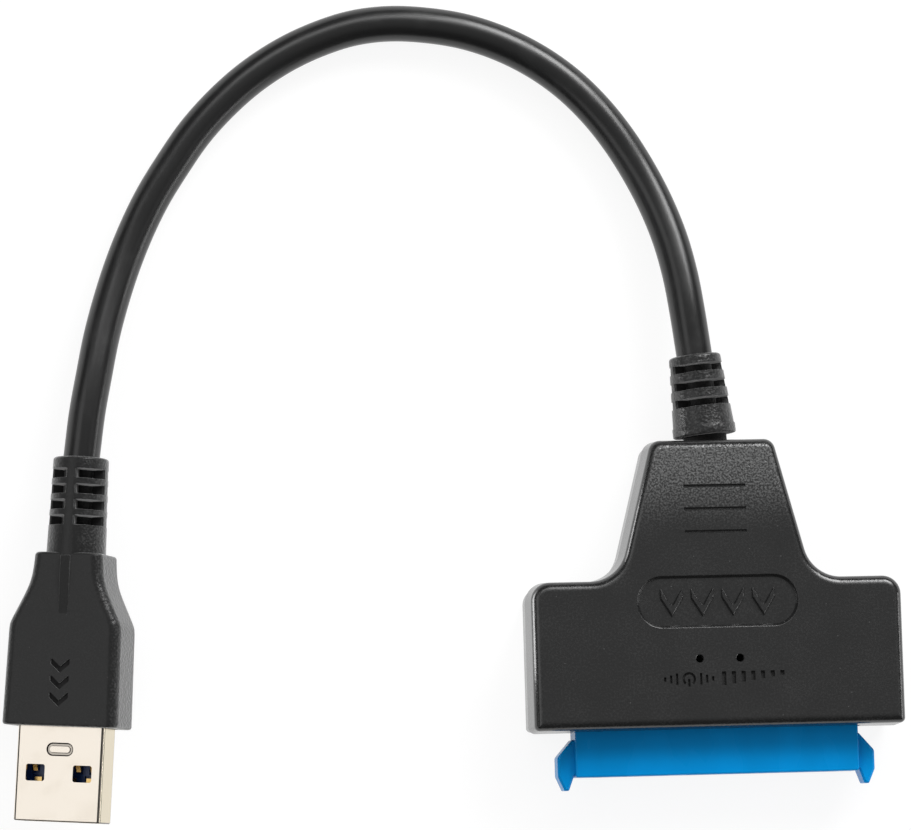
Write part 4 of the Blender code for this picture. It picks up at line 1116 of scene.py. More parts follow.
    def holes(self) -> list[Shape]:
        """The two indicator holes, each with a small countersink.

        Returns:
            The tools.
        """
        tools, size = [], 2 * self.indicator_radius
        for side in (-1, 1):
            centre = (side * self.indicator_spacing / 2, self.indicator_from_front)
            tools.append(Shape.stack(Outline.capsule(size, size, centre), [
                (self.height - self.lid - OVERCUT, 0.0),
                (self.height - self.countersink_depth, 0.0),
                (self.height, -self.countersink),
                (self.height + OVERCUT, -self.countersink),
            ], 8))
        return tools

    def pins(self, radius: float, low: float, high: float) -> Shape:
        """Rods where the upper shell's pins enter the lower shell's bosses.

        Args:
            radius: Their radius.
            low: Height of their lower ends.
            high: Height of their upper ends.

        Returns:
            The rods.
        """
        neck_y = self.length - self.neck_pin_from_end
        share = (neck_y - self.wing_depth) / (self.length - self.wing_depth)
        width = self.neck_root + (self.neck_end - self.neck_root) * share
        places = (
            (self.wing_width / 2 - self.wing_pin_inset, self.wing_pin_depth),
            (width / 2 - self.neck_pin_inset, neck_y),
        )
        return Shape.rods(
            (side * x, y, radius, low, high) for x, y in places for side in (-1, 1)
        )

    def build_top(self) -> Shape:
        """Build the upper shell.

        Returns:
            The shell.
        """
        seam = self.parting + self.parting_gap / 2
        ceiling = self.height - self.lid
        top = self.skin(seam, self.height, 0.0)
        top.cut(self.hollow(seam - OVERCUT, ceiling))
        top.join(self.pins(self.pin_radius, self.pin_end, ceiling + self.lid / 3))
        top.cut(*self.openings())
        return top.cut(self.field(), *self.grip_lines(), *self.marks(), *self.holes())

    def build_bottom(self) -> Shape:
        """Build the lower shell.

        Returns:
            The shell.
        """
        seam = self.parting - self.parting_gap / 2
        bottom = self.skin(seam, 0.0, self.step)
        bottom.cut(self.hollow(self.lid, seam + OVERCUT))
        bottom.join(self.pins(self.boss_radius, self.lid * 2 / 3, seam - FIT))
        bottom.cut(self.pins(self.pin_radius + FIT, self.pin_end - FIT, seam + OVERCUT))
        return bottom.cut(*self.openings())

    def recess(self, centre: Vector, normal: Vector) -> float:
        """Tell where shade is painted: groove floors, and walls of the field that face the front.

        Args:
            centre: Middle of a face.
            normal: Its direction.

        Returns:
            Share of painted shade.
        """
        depth, x, y = self.height - centre.z, abs(centre.x), centre.y
        if depth > 3 * self.field_depth or depth < 0.2 * HAIR:
            return 0.0
        in_field = abs(y - self.field_from_front) < self.field_width / 2 + self.lip
        if in_field and x < self.field_length / 2 + self.lip:
            return 0.85 if normal.y < -0.35 and normal.z < 0.8 else 0.0
        if abs(y - self.mark_from_front) < self.mark_height and x < self.wing_width / 4:
            return 0.9
        on_line = y > self.wing_depth and x < self.grip_length / 2 + HAIR
        if on_line and normal.y < -0.1 and self.length - y > self.rounding * 2:
            return 0.95
        return 0.0

    def dress(self, layout: Layout) -> None:
        """Build both shells in grained plastic, with a painted highlight and coarser grain at the
        neck's end.

        Args:
            layout: Places of the plug and the housing.
        """
        end, place = layout.front + self.length, layout.housing()
        # The neck's end takes a painted highlight and coarser grain.
        plastic = MouldedPlastic(
            "housing_grain", tone=0.0135, pale_tone=0.125,
            highlight_from=end - self.highlight_from_end[0], highlight_to=end - self.highlight_from_end[1],
        ).material()
        top = self.build_top().mark(self.recess)
        top.publish("upper_shell", plastic, Slot.HOUSING, "top_housing", place)
        bottom = self.build_bottom()
        bottom.publish("lower_shell", plastic, Slot.HOUSING, "bottom_housing", place)


@dataclass
class DriveConnector:
    """Wide connector with guide arms, two keyed slots and contact passages."""

    width: float = 0.0380
    height: float = 0.0050
    lift: float = 0.0030
    reach: float = 0.0059
    seat: float = 0.0060
    edge: float = 0.00025
    collar_width: float = 0.0420
    collar_start: float = 0.00202
    collar_length: float = 0.0020
    collar_rise: float = 0.0003
    arm_spread: float = 0.0023
    arm_reach: float = 0.0076
    arm_root: float = 0.0009
    arm_shoulder: float = 0.0032
    arm_taper: float = 0.0057
    arm_tip_out: float = 0.00087
    arm_tip_width: float = 0.0006
    arm_height: float = 0.0034
    arm_lift: float = 0.0006
    arm_chamfer: float = 0.00028
    arm_edge: float = 0.0002
    arm_bulge: float = 0.0006
    pitch: float = 0.00127
    data_contacts: int = 7
    power_contacts: int = 15
    group_step: float = 0.00508
    slot_depth: float = 0.0055
    slot_height: float = 0.0019
    slot_lift: float = 0.0017
    slot_margin: float = 0.00125
    key_drop: float = 0.0009
    key_width: float = 0.0012
    passage_width: float = 0.0010
    passage_height: float = 0.00085

    def places(self) -> tuple[list[float], list[float]]:
        """Work out the middle of each contact along X.

        Returns:
            Places of the data contacts, then of the power contacts.
        """
        data_span = (self.data_contacts - 1) * self.pitch
        power_span = (self.power_contacts - 1) * self.pitch
        start = -(data_span + self.group_step + power_span) / 2
        data = [start + i * self.pitch for i in range(self.data_contacts)]
        second = start + data_span + self.group_step
        return data, [second + i * self.pitch for i in range(self.power_contacts)]

    def arm(self, side: int) -> Shape:
        """One guide arm with a chamfered upper edge.

        Args:
            side: -1 for the left arm, 1 for the right.

        Returns:
            The arm.
        """
        inner = self.width / 2
        outer = inner + self.arm_spread
        root = inner - self.arm_spread / 4
        tip = inner + self.arm_tip_out
        small, chamfer = self.arm_edge, self.arm_chamfer
        points = [
            (root, -self.arm_root, small),
            (root, -self.arm_taper, small),
            (inner + FIT / 2, -self.arm_taper, small),
            (tip, -self.arm_reach, small),
            (tip + self.arm_tip_width, -self.arm_reach, small),
            (outer, -self.arm_taper, self.arm_bulge),
            (outer, -self.arm_shoulder, self.arm_bulge),
            (inner + FIT, -self.arm_root, small),
        ]
        if side < 0:
            points = [(-x, y, radius) for x, y, radius in reversed(points)]
        low = self.lift + self.arm_lift
        high = low + self.arm_height
        return Shape.stack(Outline(points), [
            (low, chamfer / 2), (low + chamfer / 2, 0.0), (high - chamfer, 0.0), (high, chamfer),
        ], 6)

    def slots(self) -> list[Shape]:
        """Both slots, their keys and the passages behind them.

        Returns:
            The tools.
        """
        floor = self.lift + self.slot_lift
        face, back = -self.reach - OVERCUT, -self.reach + self.slot_depth
        slots, keys = [], []
        data, power = self.places()
        for row in (data, power):
            low, high = row[0] - self.slot_margin, row[-1] + self.slot_margin
            slots.append(((low, face, floor), (high, back, floor + self.slot_height)))
            keys.append((
                (low, face, floor - self.key_drop),
                (low + self.key_width, back - HAIR, floor + self.slot_height / 2),
            ))
        half = self.passage_width / 2
        passages = [
            ((x - half, back - OVERCUT / 4, floor + HAIR),
             (x + half, self.seat + OVERCUT, floor + self.passage_height))
            for x in data + power
        ]
        return [Shape.boxes(*slots), Shape.boxes(*keys), Shape.boxes(*passages)]

    def build(self) -> Shape:
        """Build the body with its collar, arms and slots.

        Returns:
            The body.
        """
        half, collar_half = self.width / 2, self.collar_width / 2
        top, start = self.lift + self.height, self.collar_start
        body = Shape.boxes(((-half, -self.reach, self.lift), (half, self.seat, top)))
        body.bevel(self.edge)
        collar = Shape.boxes((
            (-collar_half, start, self.lift - self.collar_rise),
            (collar_half, start + self.collar_length, top + self.collar_rise),
        ))
        return body.join(collar, self.arm(-1), self.arm(1)).cut(*self.slots())

    def dress(self, layout: Layout) -> None:
        """Build the connector in tinted plastic."""
        plastic, place = TintedPlastic("connector_tint").material(), layout.housing()
        self.build().publish(
            "connector", plastic, Slot.CONNECTOR, "drive_connector_body", place
        )


@dataclass
class RibbedRelief:
    """Tapered round relief whose slots run between lengthwise spines."""

    start: float
    end: float
    base_radius: float
    end_radius: float
    core: float
    slots: int
    pitch: float
    slot_width: float
    from_end: float
    spines: list[float]
    half_spine: float
    edge: float = 0.00016
    end_rounding: float = 0.0004
    spine_slope: float = math.radians(4.0)
    around: int = 120

    def radius(self, station: float) -> float:
        """Outer radius, rounded off at the end.

        Args:
            station: Place along Y.

        Returns:
            The radius.
        """
        share = (station - self.start) / (self.end - self.start)
        plain = self.base_radius + (self.end_radius - self.base_radius) * share
        over = max(0.0, station - (self.end - self.end_rounding)) / self.end_rounding
        return plain - self.end_rounding * (1 - math.sqrt(max(0.0, 1 - over * over)))

    def middles(self) -> list[float]:
        """Middle of each slot along Y."""
        return [self.end - self.from_end - i * self.pitch for i in range(self.slots)]

    def depth(self, station: float) -> float:
        """Share of a slot's depth at a station."""
        inside = [self.slot_width / 2 - abs(station - middle) for middle in self.middles()]
        return max(eased(length / self.edge + 0.5) for length in inside)

    def open(self, angle: float) -> float:
        """Share of a slot that is open at an angle: 0 on a spine."""
        away = [abs((angle - spine + math.pi) % (2 * math.pi) - math.pi) for spine in self.spines]
        return eased((min(away) - self.half_spine) / self.spine_slope)

    def stations(self) -> list[float]:
        """Work out the rings' stations, close together where the form turns.

        Returns:
            The stations in order.
        """
        found = {self.start, self.end - 1e-6}
        for middle in self.middles():
            for side in (-1, 1):
                wall = middle + side * self.slot_width / 2
                found.update(wall + self.edge * (k / 6 - 0.5) for k in range(7))
            found.add(middle)
        found.update(self.end - left for turned, left in quarter(self.end_rounding, 8)[:-1])
        return sorted(found)

    def circle(self, station: float, radius: float, depth: float = 0.0) -> list[Vector]:
        """Ring across Y.

        Args:
            station: Place along Y.
            radius: Outer radius.
            depth: Share of the slots' depth.

        Returns:
            Points of the ring, drawn in to the core where a slot is open.
        """
        ring = []
        for i in range(self.around):
            angle = 2 * math.pi * i / self.around
            reach = radius - (radius - self.core) * depth * self.open(angle)
            ring.append(Vector((reach * math.cos(angle), station, reach * math.sin(angle))))
        return ring

    def rings(self) -> list[list[Vector]]:
        """Rings of the whole relief."""
        return [self.circle(y, self.radius(y), self.depth(y)) for y in self.stations()]

    def recess(self, centre: Vector) -> float:
        """Tell how deep a face lies in a slot, for the shade painted there.

        Args:
            centre: Middle of the face.

        Returns:
            Share of painted shade.
        """
        if not self.start < centre.y < self.end:
            return 0.0
        outer = self.radius(centre.y)
        share = (outer - math.hypot(centre.x, centre.z)) / (outer - self.core)
        return min(1.0, max(0.0, share * 3.0 - 0.2))


@dataclass
class HousingRelief:
    """Relief between the housing and the cord, bent slightly to the side."""

    housing_length: float = 0.0385
    wall: float = 0.0016
    centre_height: float = 0.0061
    length: float = 0.0108
    standoff: float = 0.0008
    flange_radius: float = 0.00422
    flange_length: float = 0.0012
    neck_radius: float = 0.0029
    inner_radius: float = 0.0041
    inner_length: float = 0.0015
    bend: float = math.radians(5.6)
    turn: float = math.radians(-14)
    soft: float = 0.0002

    def base(self) -> float:
        """Station of the flange's face."""
        return self.housing_length + self.standoff

    def taper(self) -> RibbedRelief:
        """The slotted taper behind the flange."""
        return RibbedRelief(
            start=self.base() + self.flange_length + self.soft, end=self.base() + self.length,
            base_radius=0.00410, end_radius=0.00345, core=0.0021, slots=3, pitch=0.0023,
            slot_width=0.0010, from_end=0.0018, spines=[self.turn, self.turn + math.pi],
            half_spine=math.radians(9),
        )

    def bent(self, point: Vector) -> Vector:
        """Turn what lies past the housing about Z, and lift all to the housing's middle.

        Args:
            point: Point of the straight relief.

        Returns:
            Its place in the housing's frame.
        """
        low, high = self.housing_length, self.base() - HAIR
        share = min(1.0, max(0.0, (point.y - low) / (high - low)))
        pivot = Vector((0.0, (low + high) / 2, 0.0))
        turned = Matrix.Rotation(self.bend * share, 3, "Z") @ (point - pivot)
        return turned + pivot + Vector((0.0, 0.0, self.centre_height))

    def recess(self, centre: Vector, normal: Vector) -> float:
        """Share of painted shade: the neck behind the flange, and the slots."""
        return 0.95 if centre.y < self.base() else self.taper().recess(centre)

    def build(self) -> Shape:
        """Build inner flange, neck, outer flange and taper in one moulding.

        Returns:
            The relief.
        """
        taper, base = self.taper(), self.base()
        inner_end = self.housing_length - self.wall - FIT
        rings = [taper.circle(station, radius) for station, radius in (
            (inner_end - self.inner_length, self.inner_radius),
            (inner_end, self.inner_radius),
            (inner_end + HAIR, self.neck_radius),
            (self.housing_length, self.neck_radius),
            (base - HAIR, self.neck_radius),
            *((base + turned, self.flange_radius - left)
              for turned, left in quarter(self.soft, 4)),
            (base + self.flange_length, self.flange_radius),
        )]
        return Shape.loft(rings + taper.rings()).mark(self.recess).warp(self.bent)

    def dress(self, layout: Layout) -> bpy.types.Object:
        """Build the relief in grained flexible plastic.

        Args:
            layout: Places of the plug and the housing.

        Returns:
            The relief.
        """
        plastic = MouldedPlastic(
            # The relief's faces take painted glints in the grain.
            "relief_grain", tone=0.012, pale_tone=0.065, roughness=0.36, grain=0.28 * MILLI,
            specular=0.32, sheen=0.4, face=(0.0, 0.0, 0.0), flank=0.7, polish=0.0,
            relief=0.020 * MILLI,
        ).material()
        return self.build().publish(
            "relief", plastic, Slot.RELIEF, "housing_relief", layout.housing()
        )


@dataclass
class Plug:
    """Flat plug: moulded body with a ribbed relief, and a pressed metal shell."""

    length: float = 0.0227
    front_width: float = 0.01596
    front_taper: float = 0.020
    shoulder_taper: float = 0.506
    rear_straighten: float = 0.478
    shoulder: float = 0.0133
    shoulder_soft: float = 0.0005
    waist: float = 0.0189
    waist_soft: float = 0.0016
    thickness: float = 0.0078
    edge: float = 0.0014
    end_bevel: float = 0.0004
    relief_length: float = 0.0127
    rib_width: float = 0.0013
    rib_length: float = 0.0088
    rib_rise: float = 0.0003
    rib_rounding: float = 0.22 * MILLI
    marks: int = 3
    mark_from_front: float = 0.0035
    mark_pitch: float = 0.0022
    mark_width: float = 0.0026
    mark_length: float = 0.0020
    mark_stroke: float = 0.00085
    mark_depth: float = 0.00022
    shell_width: float = 0.0120
    shell_height: float = 0.0045
    shell_wall: float = 0.00032
    shell_reach: float = 0.0124
    shell_seat: float = 0.0045
    shell_corner: float = 0.0004
    shell_lip: float = 0.15 * MILLI
    window_width: float = 0.0026
    window_length: float = 0.0022
    window_corner: float = 0.3 * MILLI
    window_spacing: float = 0.0065
    window_from_body: float = 0.0061
    stamp_length: float = 0.0037
    stamp_width: float = 0.00175
    stamp_slope: float = 0.16 * MILLI
    stamp_bar_length: float = 0.0029
    stamp_bar_width: float = 0.00095
    stamp_bar_slope: float = 0.08 * MILLI
    stamp_depth: float = 0.00018
    stamp_from_body: float = 0.0030
    core_width: float = 0.0102
    core_height: float = 0.0052
    core_length: float = 0.0084

    def half_width(self, station: float) -> float:
        """Half width of the body: a slight taper, a shoulder, and a waist that straightens.

        Args:
            station: Place along Y.

        Returns:
            The half width.
        """
        width = self.front_width / 2 - self.front_taper * station
        for bend, soft, slope in (
            (self.shoulder, self.shoulder_soft, -self.shoulder_taper),
            (self.waist, self.waist_soft, self.rear_straighten),
        ):
            past = station - bend
            width += slope * (past + math.hypot(past, soft)) / 2
        return width

    def body(self) -> Shape:
        """Build the overmould's body.

        Returns:
            The body.
        """
        front = quarter(self.end_bevel, 4)
        rear = [(self.length - station, inset) for station, inset in reversed(front)]
        first, count = self.shoulder - 3 * self.shoulder_soft, 30
        span = self.length - 2 * self.end_bevel - first
        middle = [(first + span * i / count, 0.0) for i in range(count + 1)]
        return Shape.sweep((
            (y, Outline.rectangle(2 * self.half_width(y), self.thickness, self.edge), inset)
            for y, inset in front + middle + rear
        ), 10)

    def taper(self) -> RibbedRelief:
        """Form of the relief behind the body."""
        return RibbedRelief(
            start=self.length - 2 * self.end_bevel, end=self.length + self.relief_length,
            base_radius=0.00393, end_radius=0.00365, core=0.0021, slots=4, pitch=0.00206,
            slot_width=0.00117, from_end=0.0022, spines=[math.pi / 2 * i for i in range(4)],
            half_spine=math.radians(11),
        )

    def recess(self, centre: Vector, normal: Vector) -> float:
        """Tell painted shade in slots of the relief and engraved marks, and a darker rib top.

        Args:
            centre: Middle of a face.
            normal: Its direction, which makes no difference here.

        Returns:
            Share of darkening.
        """
        if centre.y > self.length:
            return self.taper().recess(centre)
        depth = self.thickness / 2 - centre.z
        if HAIR < depth < 2 * self.mark_depth and abs(centre.x) < self.mark_width:
            return 0.95 if centre.y > self.end_bevel * 2 else 0.0
        return 0.45 if depth < -HAIR else 0.0

    def rib(self) -> Shape:
        """Build the slim rib that rises towards the relief.

        Returns:
            The rib.
        """
        top, end, rise = self.thickness / 2, self.length - self.end_bevel, self.rib_rise
        start = end - self.rib_length
        rib = Shape.profile([
            (start, top - rise), (end, top - rise), (end, top + rise),
            (end - self.rib_length / 3, top + rise), (start, top - rise / 4),
        ], self.rib_width)
        return rib.bevel(self.rib_rounding)

    def chevrons(self) -> list[Shape]:
        """Small chevrons that point to the shell.

        Returns:
            The tools.
        """
        top = self.thickness / 2
        levels = [(top - self.mark_depth, 0.0), (top + OVERCUT, 0.0)]
        size = (self.mark_width, self.mark_length, self.mark_stroke)
        rows = [self.mark_from_front + i * self.mark_pitch for i in range(self.marks)]
        return [Shape.stack(Outline.chevron((0.0, y), *size), levels, 3) for y in rows]

    def pocket(self, width: float, height: float, start: float, end: float) -> Shape:
        """Box with a fit around it.

        Args:
            width: Width of what it takes in.
            height: Height of what it takes in.
            start: Its front.
            end: Its end.

        Returns:
            The tool.
        """
        side, top = width / 2 + FIT, height / 2 + FIT
        return Shape.boxes(((-side, start, -top), (side, end, top)))

    def build_overmould(self) -> Shape:
        """Build body, relief, rib and marks, with pockets for shell and inner mould.

        Returns:
            The overmould.
        """
        seat = self.shell_seat
        shell = self.pocket(self.shell_width, self.shell_height, -OVERCUT, seat + FIT)
        end = seat + self.core_length + 3 * FIT
        core = self.pocket(self.core_width, self.core_height, seat, end)
        body = self.body().join(Shape.loft(self.taper().rings()), self.rib())
        return body.cut(*self.chevrons(), shell, core).mark(self.recess)

    def build_shell(self) -> Shape:
        """Build the metal shell with four windows and a stamped oval.

        Returns:
            The shell.
        """
        outline = Outline.rectangle(self.shell_width, self.shell_height, self.shell_corner)
        front, seat, wall = -self.shell_reach, self.shell_seat, self.shell_wall
        shell = Shape.sweep([
            (front, outline, self.shell_lip), (front + self.shell_lip, outline, 0.0),
            (seat, outline, 0.0),
        ])
        bore = Shape.sweep([(front - OVERCUT, outline, wall), (seat + OVERCUT, outline, wall)])
        top = self.shell_height / 2
        windows = [
            Shape.stack(Outline.rectangle(
                self.window_width, self.window_length, self.window_corner,
                (side * self.window_spacing / 2, -self.window_from_body),
            ), [(-top - OVERCUT, 0.0), (top + OVERCUT, 0.0)], 4)
            for side in (-1, 1)
        ]
        floor, centre = top - self.stamp_depth, (0.0, -self.stamp_from_body)
        oval = Outline.capsule(self.stamp_length, self.stamp_width, centre)
        stamp = Shape.stack(oval, [
            (floor, self.stamp_slope), (top, 0.0), (top + OVERCUT, 0.0),
        ])
        bar = Outline.capsule(self.stamp_bar_length, self.stamp_bar_width, centre)
        stamp.cut(Shape.stack(bar, [
            (floor - OVERCUT / 4, 0.0), (floor, 0.0), (top + HAIR, self.stamp_bar_slope),
        ]))
        return shell.cut(bore, *windows, stamp).mark(self.bend)

    def bend(self, centre: Vector, normal: Vector) -> float:
        """Tell the shell's painted dark lines: painted reflection on both sides of each bend and
        on its lip, and painted shade in the stamp.

        Args:
            centre: Middle of a face.
            normal: Its direction.

        Returns:
            Share of darkening.
        """
        side, edge = self.shell_width / 2, self.shell_corner * 1.01
        depth = self.shell_height / 2 - abs(centre.z)
        if -0.95 < normal.y < -0.3 and centre.y < -self.shell_reach + self.shell_lip * 0.8:
            return 0.95
        lean = math.degrees(math.atan2(abs(normal.x), abs(normal.z)))
        near_edge = depth < edge and side - abs(centre.x) < edge
        if near_edge and abs(normal.y) < 0.2 and (2 < lean < 34 or 66 < lean < 88):
            return 0.85
        from_middle = abs(centre.y + self.stamp_from_body)
        in_stamp = from_middle < self.stamp_width / 2 and abs(centre.x) < self.stamp_length / 2
        below = self.shell_height / 2 - centre.z
        if in_stamp and HAIR / 2 < below < 2 * self.stamp_depth:
            if below > self.stamp_depth * 0.98:
                return 0.5
            return 1.0 if normal.y < 0.2 else 0.6
        return 0.0

    def dress(self, layout: Layout) -> bpy.types.Object:
        """Build the overmould and the shell.

        Args:
            layout: Places of the plug and the housing.

        Returns:
            The overmould.
        """
        place = layout.plug()
        plastic = MouldedPlastic(
            "overmould_grain", tone=0.009, pale_tone=0.06, roughness=0.36, specular=0.24,
            # Side walls take pale streaks of painted reflection, and the flanks painted glints in
            # the grain.
            sheen=0.8, reflection_streaks=0.5, flank=0.6, polish=0.0, relief=0.020 * MILLI,
            face=tuple(place.to_3x3() @ Vector((0.0, 0.0, 1.0))),
        ).material()
        overmould = self.build_overmould().publish(
            "overmould", plastic, Slot.HOUSING, "plug_overmould", place
        )
        metal = Metal(
            "shell_plating", colour=(0.92, 0.845, 0.745), stain=(0.88, 0.80, 0.69),
            # The shell's right side takes a painted reflection tint.
            painted_side_reflection=(0.76, 0.68, 0.52),
        ).material()
        self.build_shell().publish("shell", metal, Slot.SHELL, "plug_shell", place)
        return overmould


@dataclass
class Cord:
    """Round cord that runs in one arc from the plug's relief to the housing's relief."""

    diameter: float = 0.0048
    plug_end: float = 0.0354
    relief_end: float = 0.0501
    seat: float = 0.0002
    points_per_step: int = 6
    facets: int = 14
    route: list[Triple] = field(default_factory=lambda: [
        (-0.0824, 0.0436, 0.00600), (-0.0814, 0.0486, 0.00540), (-0.0803, 0.0537, 0.00450),
        (-0.0789, 0.0587, 0.00360), (-0.0772, 0.0637, 0.00284), (-0.0752, 0.0685, 0.00245),
        (-0.0729, 0.0730, 0.00245), (-0.0701, 0.0774, 0.00245), (-0.0671, 0.0816, 0.00245),
        (-0.0636, 0.0854, 0.00245), (-0.0597, 0.0888, 0.00245), (-0.0553, 0.0917, 0.00245),
        (-0.0507, 0.0939, 0.00245), (-0.0457, 0.0955, 0.00245), (-0.0406, 0.0961, 0.00245),
        (-0.0353, 0.0958, 0.00245), (-0.0303, 0.0949, 0.00245), (-0.0254, 0.0932, 0.00245),
        (-0.0208, 0.0908, 0.00245), (-0.0167, 0.0878, 0.00245), (-0.0131, 0.0842, 0.00245),
        (-0.0101, 0.0803, 0.00245), (-0.0075, 0.0760, 0.00257), (-0.0053, 0.0713, 0.00317),
        (-0.0036, 0.0663, 0.00408), (-0.0025, 0.0612, 0.00504), (-0.0018, 0.0560, 0.00579),
    ])

    def path(self, layout: Layout, relief: HousingRelief) -> list[Vector]:
        """Follow a smooth curve through the route, in the row frame.

        Args:
            layout: Places of the plug and the housing.
            relief: The housing's relief.

        Returns:
            Points of the cord's centreline.
        """
        housing = layout.housing()
        start = layout.plug() @ Vector((0.0, self.plug_end - self.seat, 0.0))
        end = housing @ relief.bent(Vector((0.0, self.relief_end - self.seat, 0.0)))
        route = [start, *(housing @ Vector(point) for point in self.route), end]
        path = []
        for i in range(len(route) - 1):
            b, c = route[i], route[i + 1]
            a = route[i - 1] if i > 0 else b * 2 - c
            d = route[i + 2] if i + 2 < len(route) else c * 2 - b
            for step in range(self.points_per_step):
                t = step / self.points_per_step
                path.append(0.5 * (
                    2 * b + (c - a) * t + (2 * a - 5 * b + 4 * c - d) * t ** 2
                    + (3 * b - a - 3 * c + d) * t ** 3
                ))
        path.append(end)
        return path

    def dress(
        self, layout: Layout, relief: HousingRelief, pieces: list[bpy.types.Object]
    ) -> None:
        """Args:
            layout: Places of the plug and the housing.
            relief: The housing's relief.
            pieces: Pieces on the cord; not used.
        """
        path = self.path(layout, relief)
        curve = bpy.data.curves.new("cord_line", "CURVE")
        curve.dimensions = "3D"
        curve.bevel_depth = self.diameter / 2
        curve.bevel_resolution = self.facets
        curve.use_fill_caps = True
        spline = curve.splines.new("POLY")
        spline.points.add(len(path) - 1)
        for target, point in zip(spline.points, path):
            target.co = (*point, 1.0)
        curve.materials.append(CordJacket("cord_sheen").material())
        cord = bpy.data.objects.new("jacketed_cord", curve)
        bpy.context.scene.collection.objects.link(cord)
        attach(cord, BODY)
        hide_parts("cord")
        length = sum((b - a).length for a, b in zip(path, path[1:]))
        tuple(path[-1])
        LOG.info("jacketed_cord: %.4f m", length)


@dataclass
class Electronics:
    """Contacts, board, components and wires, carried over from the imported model."""

    nodes: dict[str, bpy.types.Object]
    wires: dict[str, Triple] = field(default_factory=lambda: {
        "red": (0.55, 0.02, 0.02), "black": (0.02, 0.02, 0.02), "green": (0.02, 0.3, 0.05),
        "white": (0.75, 0.75, 0.73), "blue": (0.02, 0.08, 0.5), "yellow": (0.7, 0.5, 0.02),
        "violet": (0.28, 0.05, 0.36), "orange": (0.75, 0.22, 0.02),
    })

    def finish(self, finish: Union[Metal, Laminate, SmallPart], *starts: str) -> None:
        """Give a finish to the CAD nodes whose names start with one of the given words.

        Args:
            finish: The finish.
            starts: How the names start.
        """
        material = finish.material()
        for name in sorted(name for name in self.nodes if name.startswith(starts)):
            item = self.nodes[name]
            if not item.material_slots:
                item.data.materials.append(material)
            for slot in item.material_slots:
                slot.material = material
            LOG.info("%s: %s", name, material.name)

    def dress(self) -> None:
        """Dress every node that is carried over."""
        gold, stain = (0.86, 0.60, 0.24), (0.72, 0.46, 0.16)
        self.finish(
            Metal("contact_plating", gold, stain, roughness=0.2, mark=0.03 * MILLI),
            "data_contact", "power_contact", "plug_contact", "plug_rear_contact",
        )
        steel, stain = (0.70, 0.70, 0.68), (0.55, 0.55, 0.53)
        self.finish(Metal("can_steel", steel, stain, roughness=0.28), "crystal")
        self.finish(Laminate("board_mask"), "circuit_board")
        self.finish(
            SmallPart("chip_mould", (0.022, 0.022, 0.023), 0.55),
            "bridge_chip", "memory_chip", "regulator",
        )
        for name, colour, roughness, grain, variation, start in (
            ("choke_ferrite", (0.05, 0.05, 0.055), 0.6, 0.2, 0.35, "choke"),
            ("capacitor_ceramic", (0.42, 0.27, 0.14), 0.35, 0.12, 0.35, "capacitor"),
            ("indicator_lens", (0.62, 0.68, 0.72), 0.18, 0.12, 0.1, "indicator_light"),
            ("inner_mould", (0.03, 0.03, 0.032), 0.5, 0.3, 0.35, "plug_inner_mould"),
            ("tongue_tint", (0.0, 0.028, 0.14), 0.3, 0.4, 0.2, "plug_insulator"),
            *(("jacket_" + name, colour, 0.4, 0.3, 0.15, "inner_wire_%d" % (i + 1))
              for i, (name, colour) in enumerate(self.wires.items())),
        ):
            part = SmallPart(name, colour, roughness, grain * MILLI, variation=variation)
            self.finish(part, start)


@dataclass(frozen=True)
class Lamp:
    """Flat lamp that faces a point; azimuth from +X and elevation are in degrees."""

    name: str
    azimuth: float
    elevation: float
    distance: float
    size: Pair
    radiance: float
    middle: Triple = MIDDLE
    spread: float = 180.0

    def hang(self) -> None:
        """Add the lamp to the scene, out of the camera's sight."""
        turn, rise = math.radians(self.azimuth), math.radians(self.elevation)
        away = Vector((
            math.cos(rise) * math.cos(turn), math.cos(rise) * math.sin(turn), math.sin(rise)
        ))
        data = bpy.data.lights.new(self.name, "AREA")
        data.shape = "RECTANGLE"
        data.size, data.size_y = self.size
        data.spread = math.radians(self.spread)
        data.energy = self.radiance * math.pi * self.size[0] * self.size[1]
        item = bpy.data.objects.new(self.name, data)
        item.location = Vector(self.middle) + away * self.distance
        item.rotation_euler = away.to_track_quat("Z", "Y").to_euler()
        item.visible_camera = False
        bpy.context.scene.collection.objects.link(item)


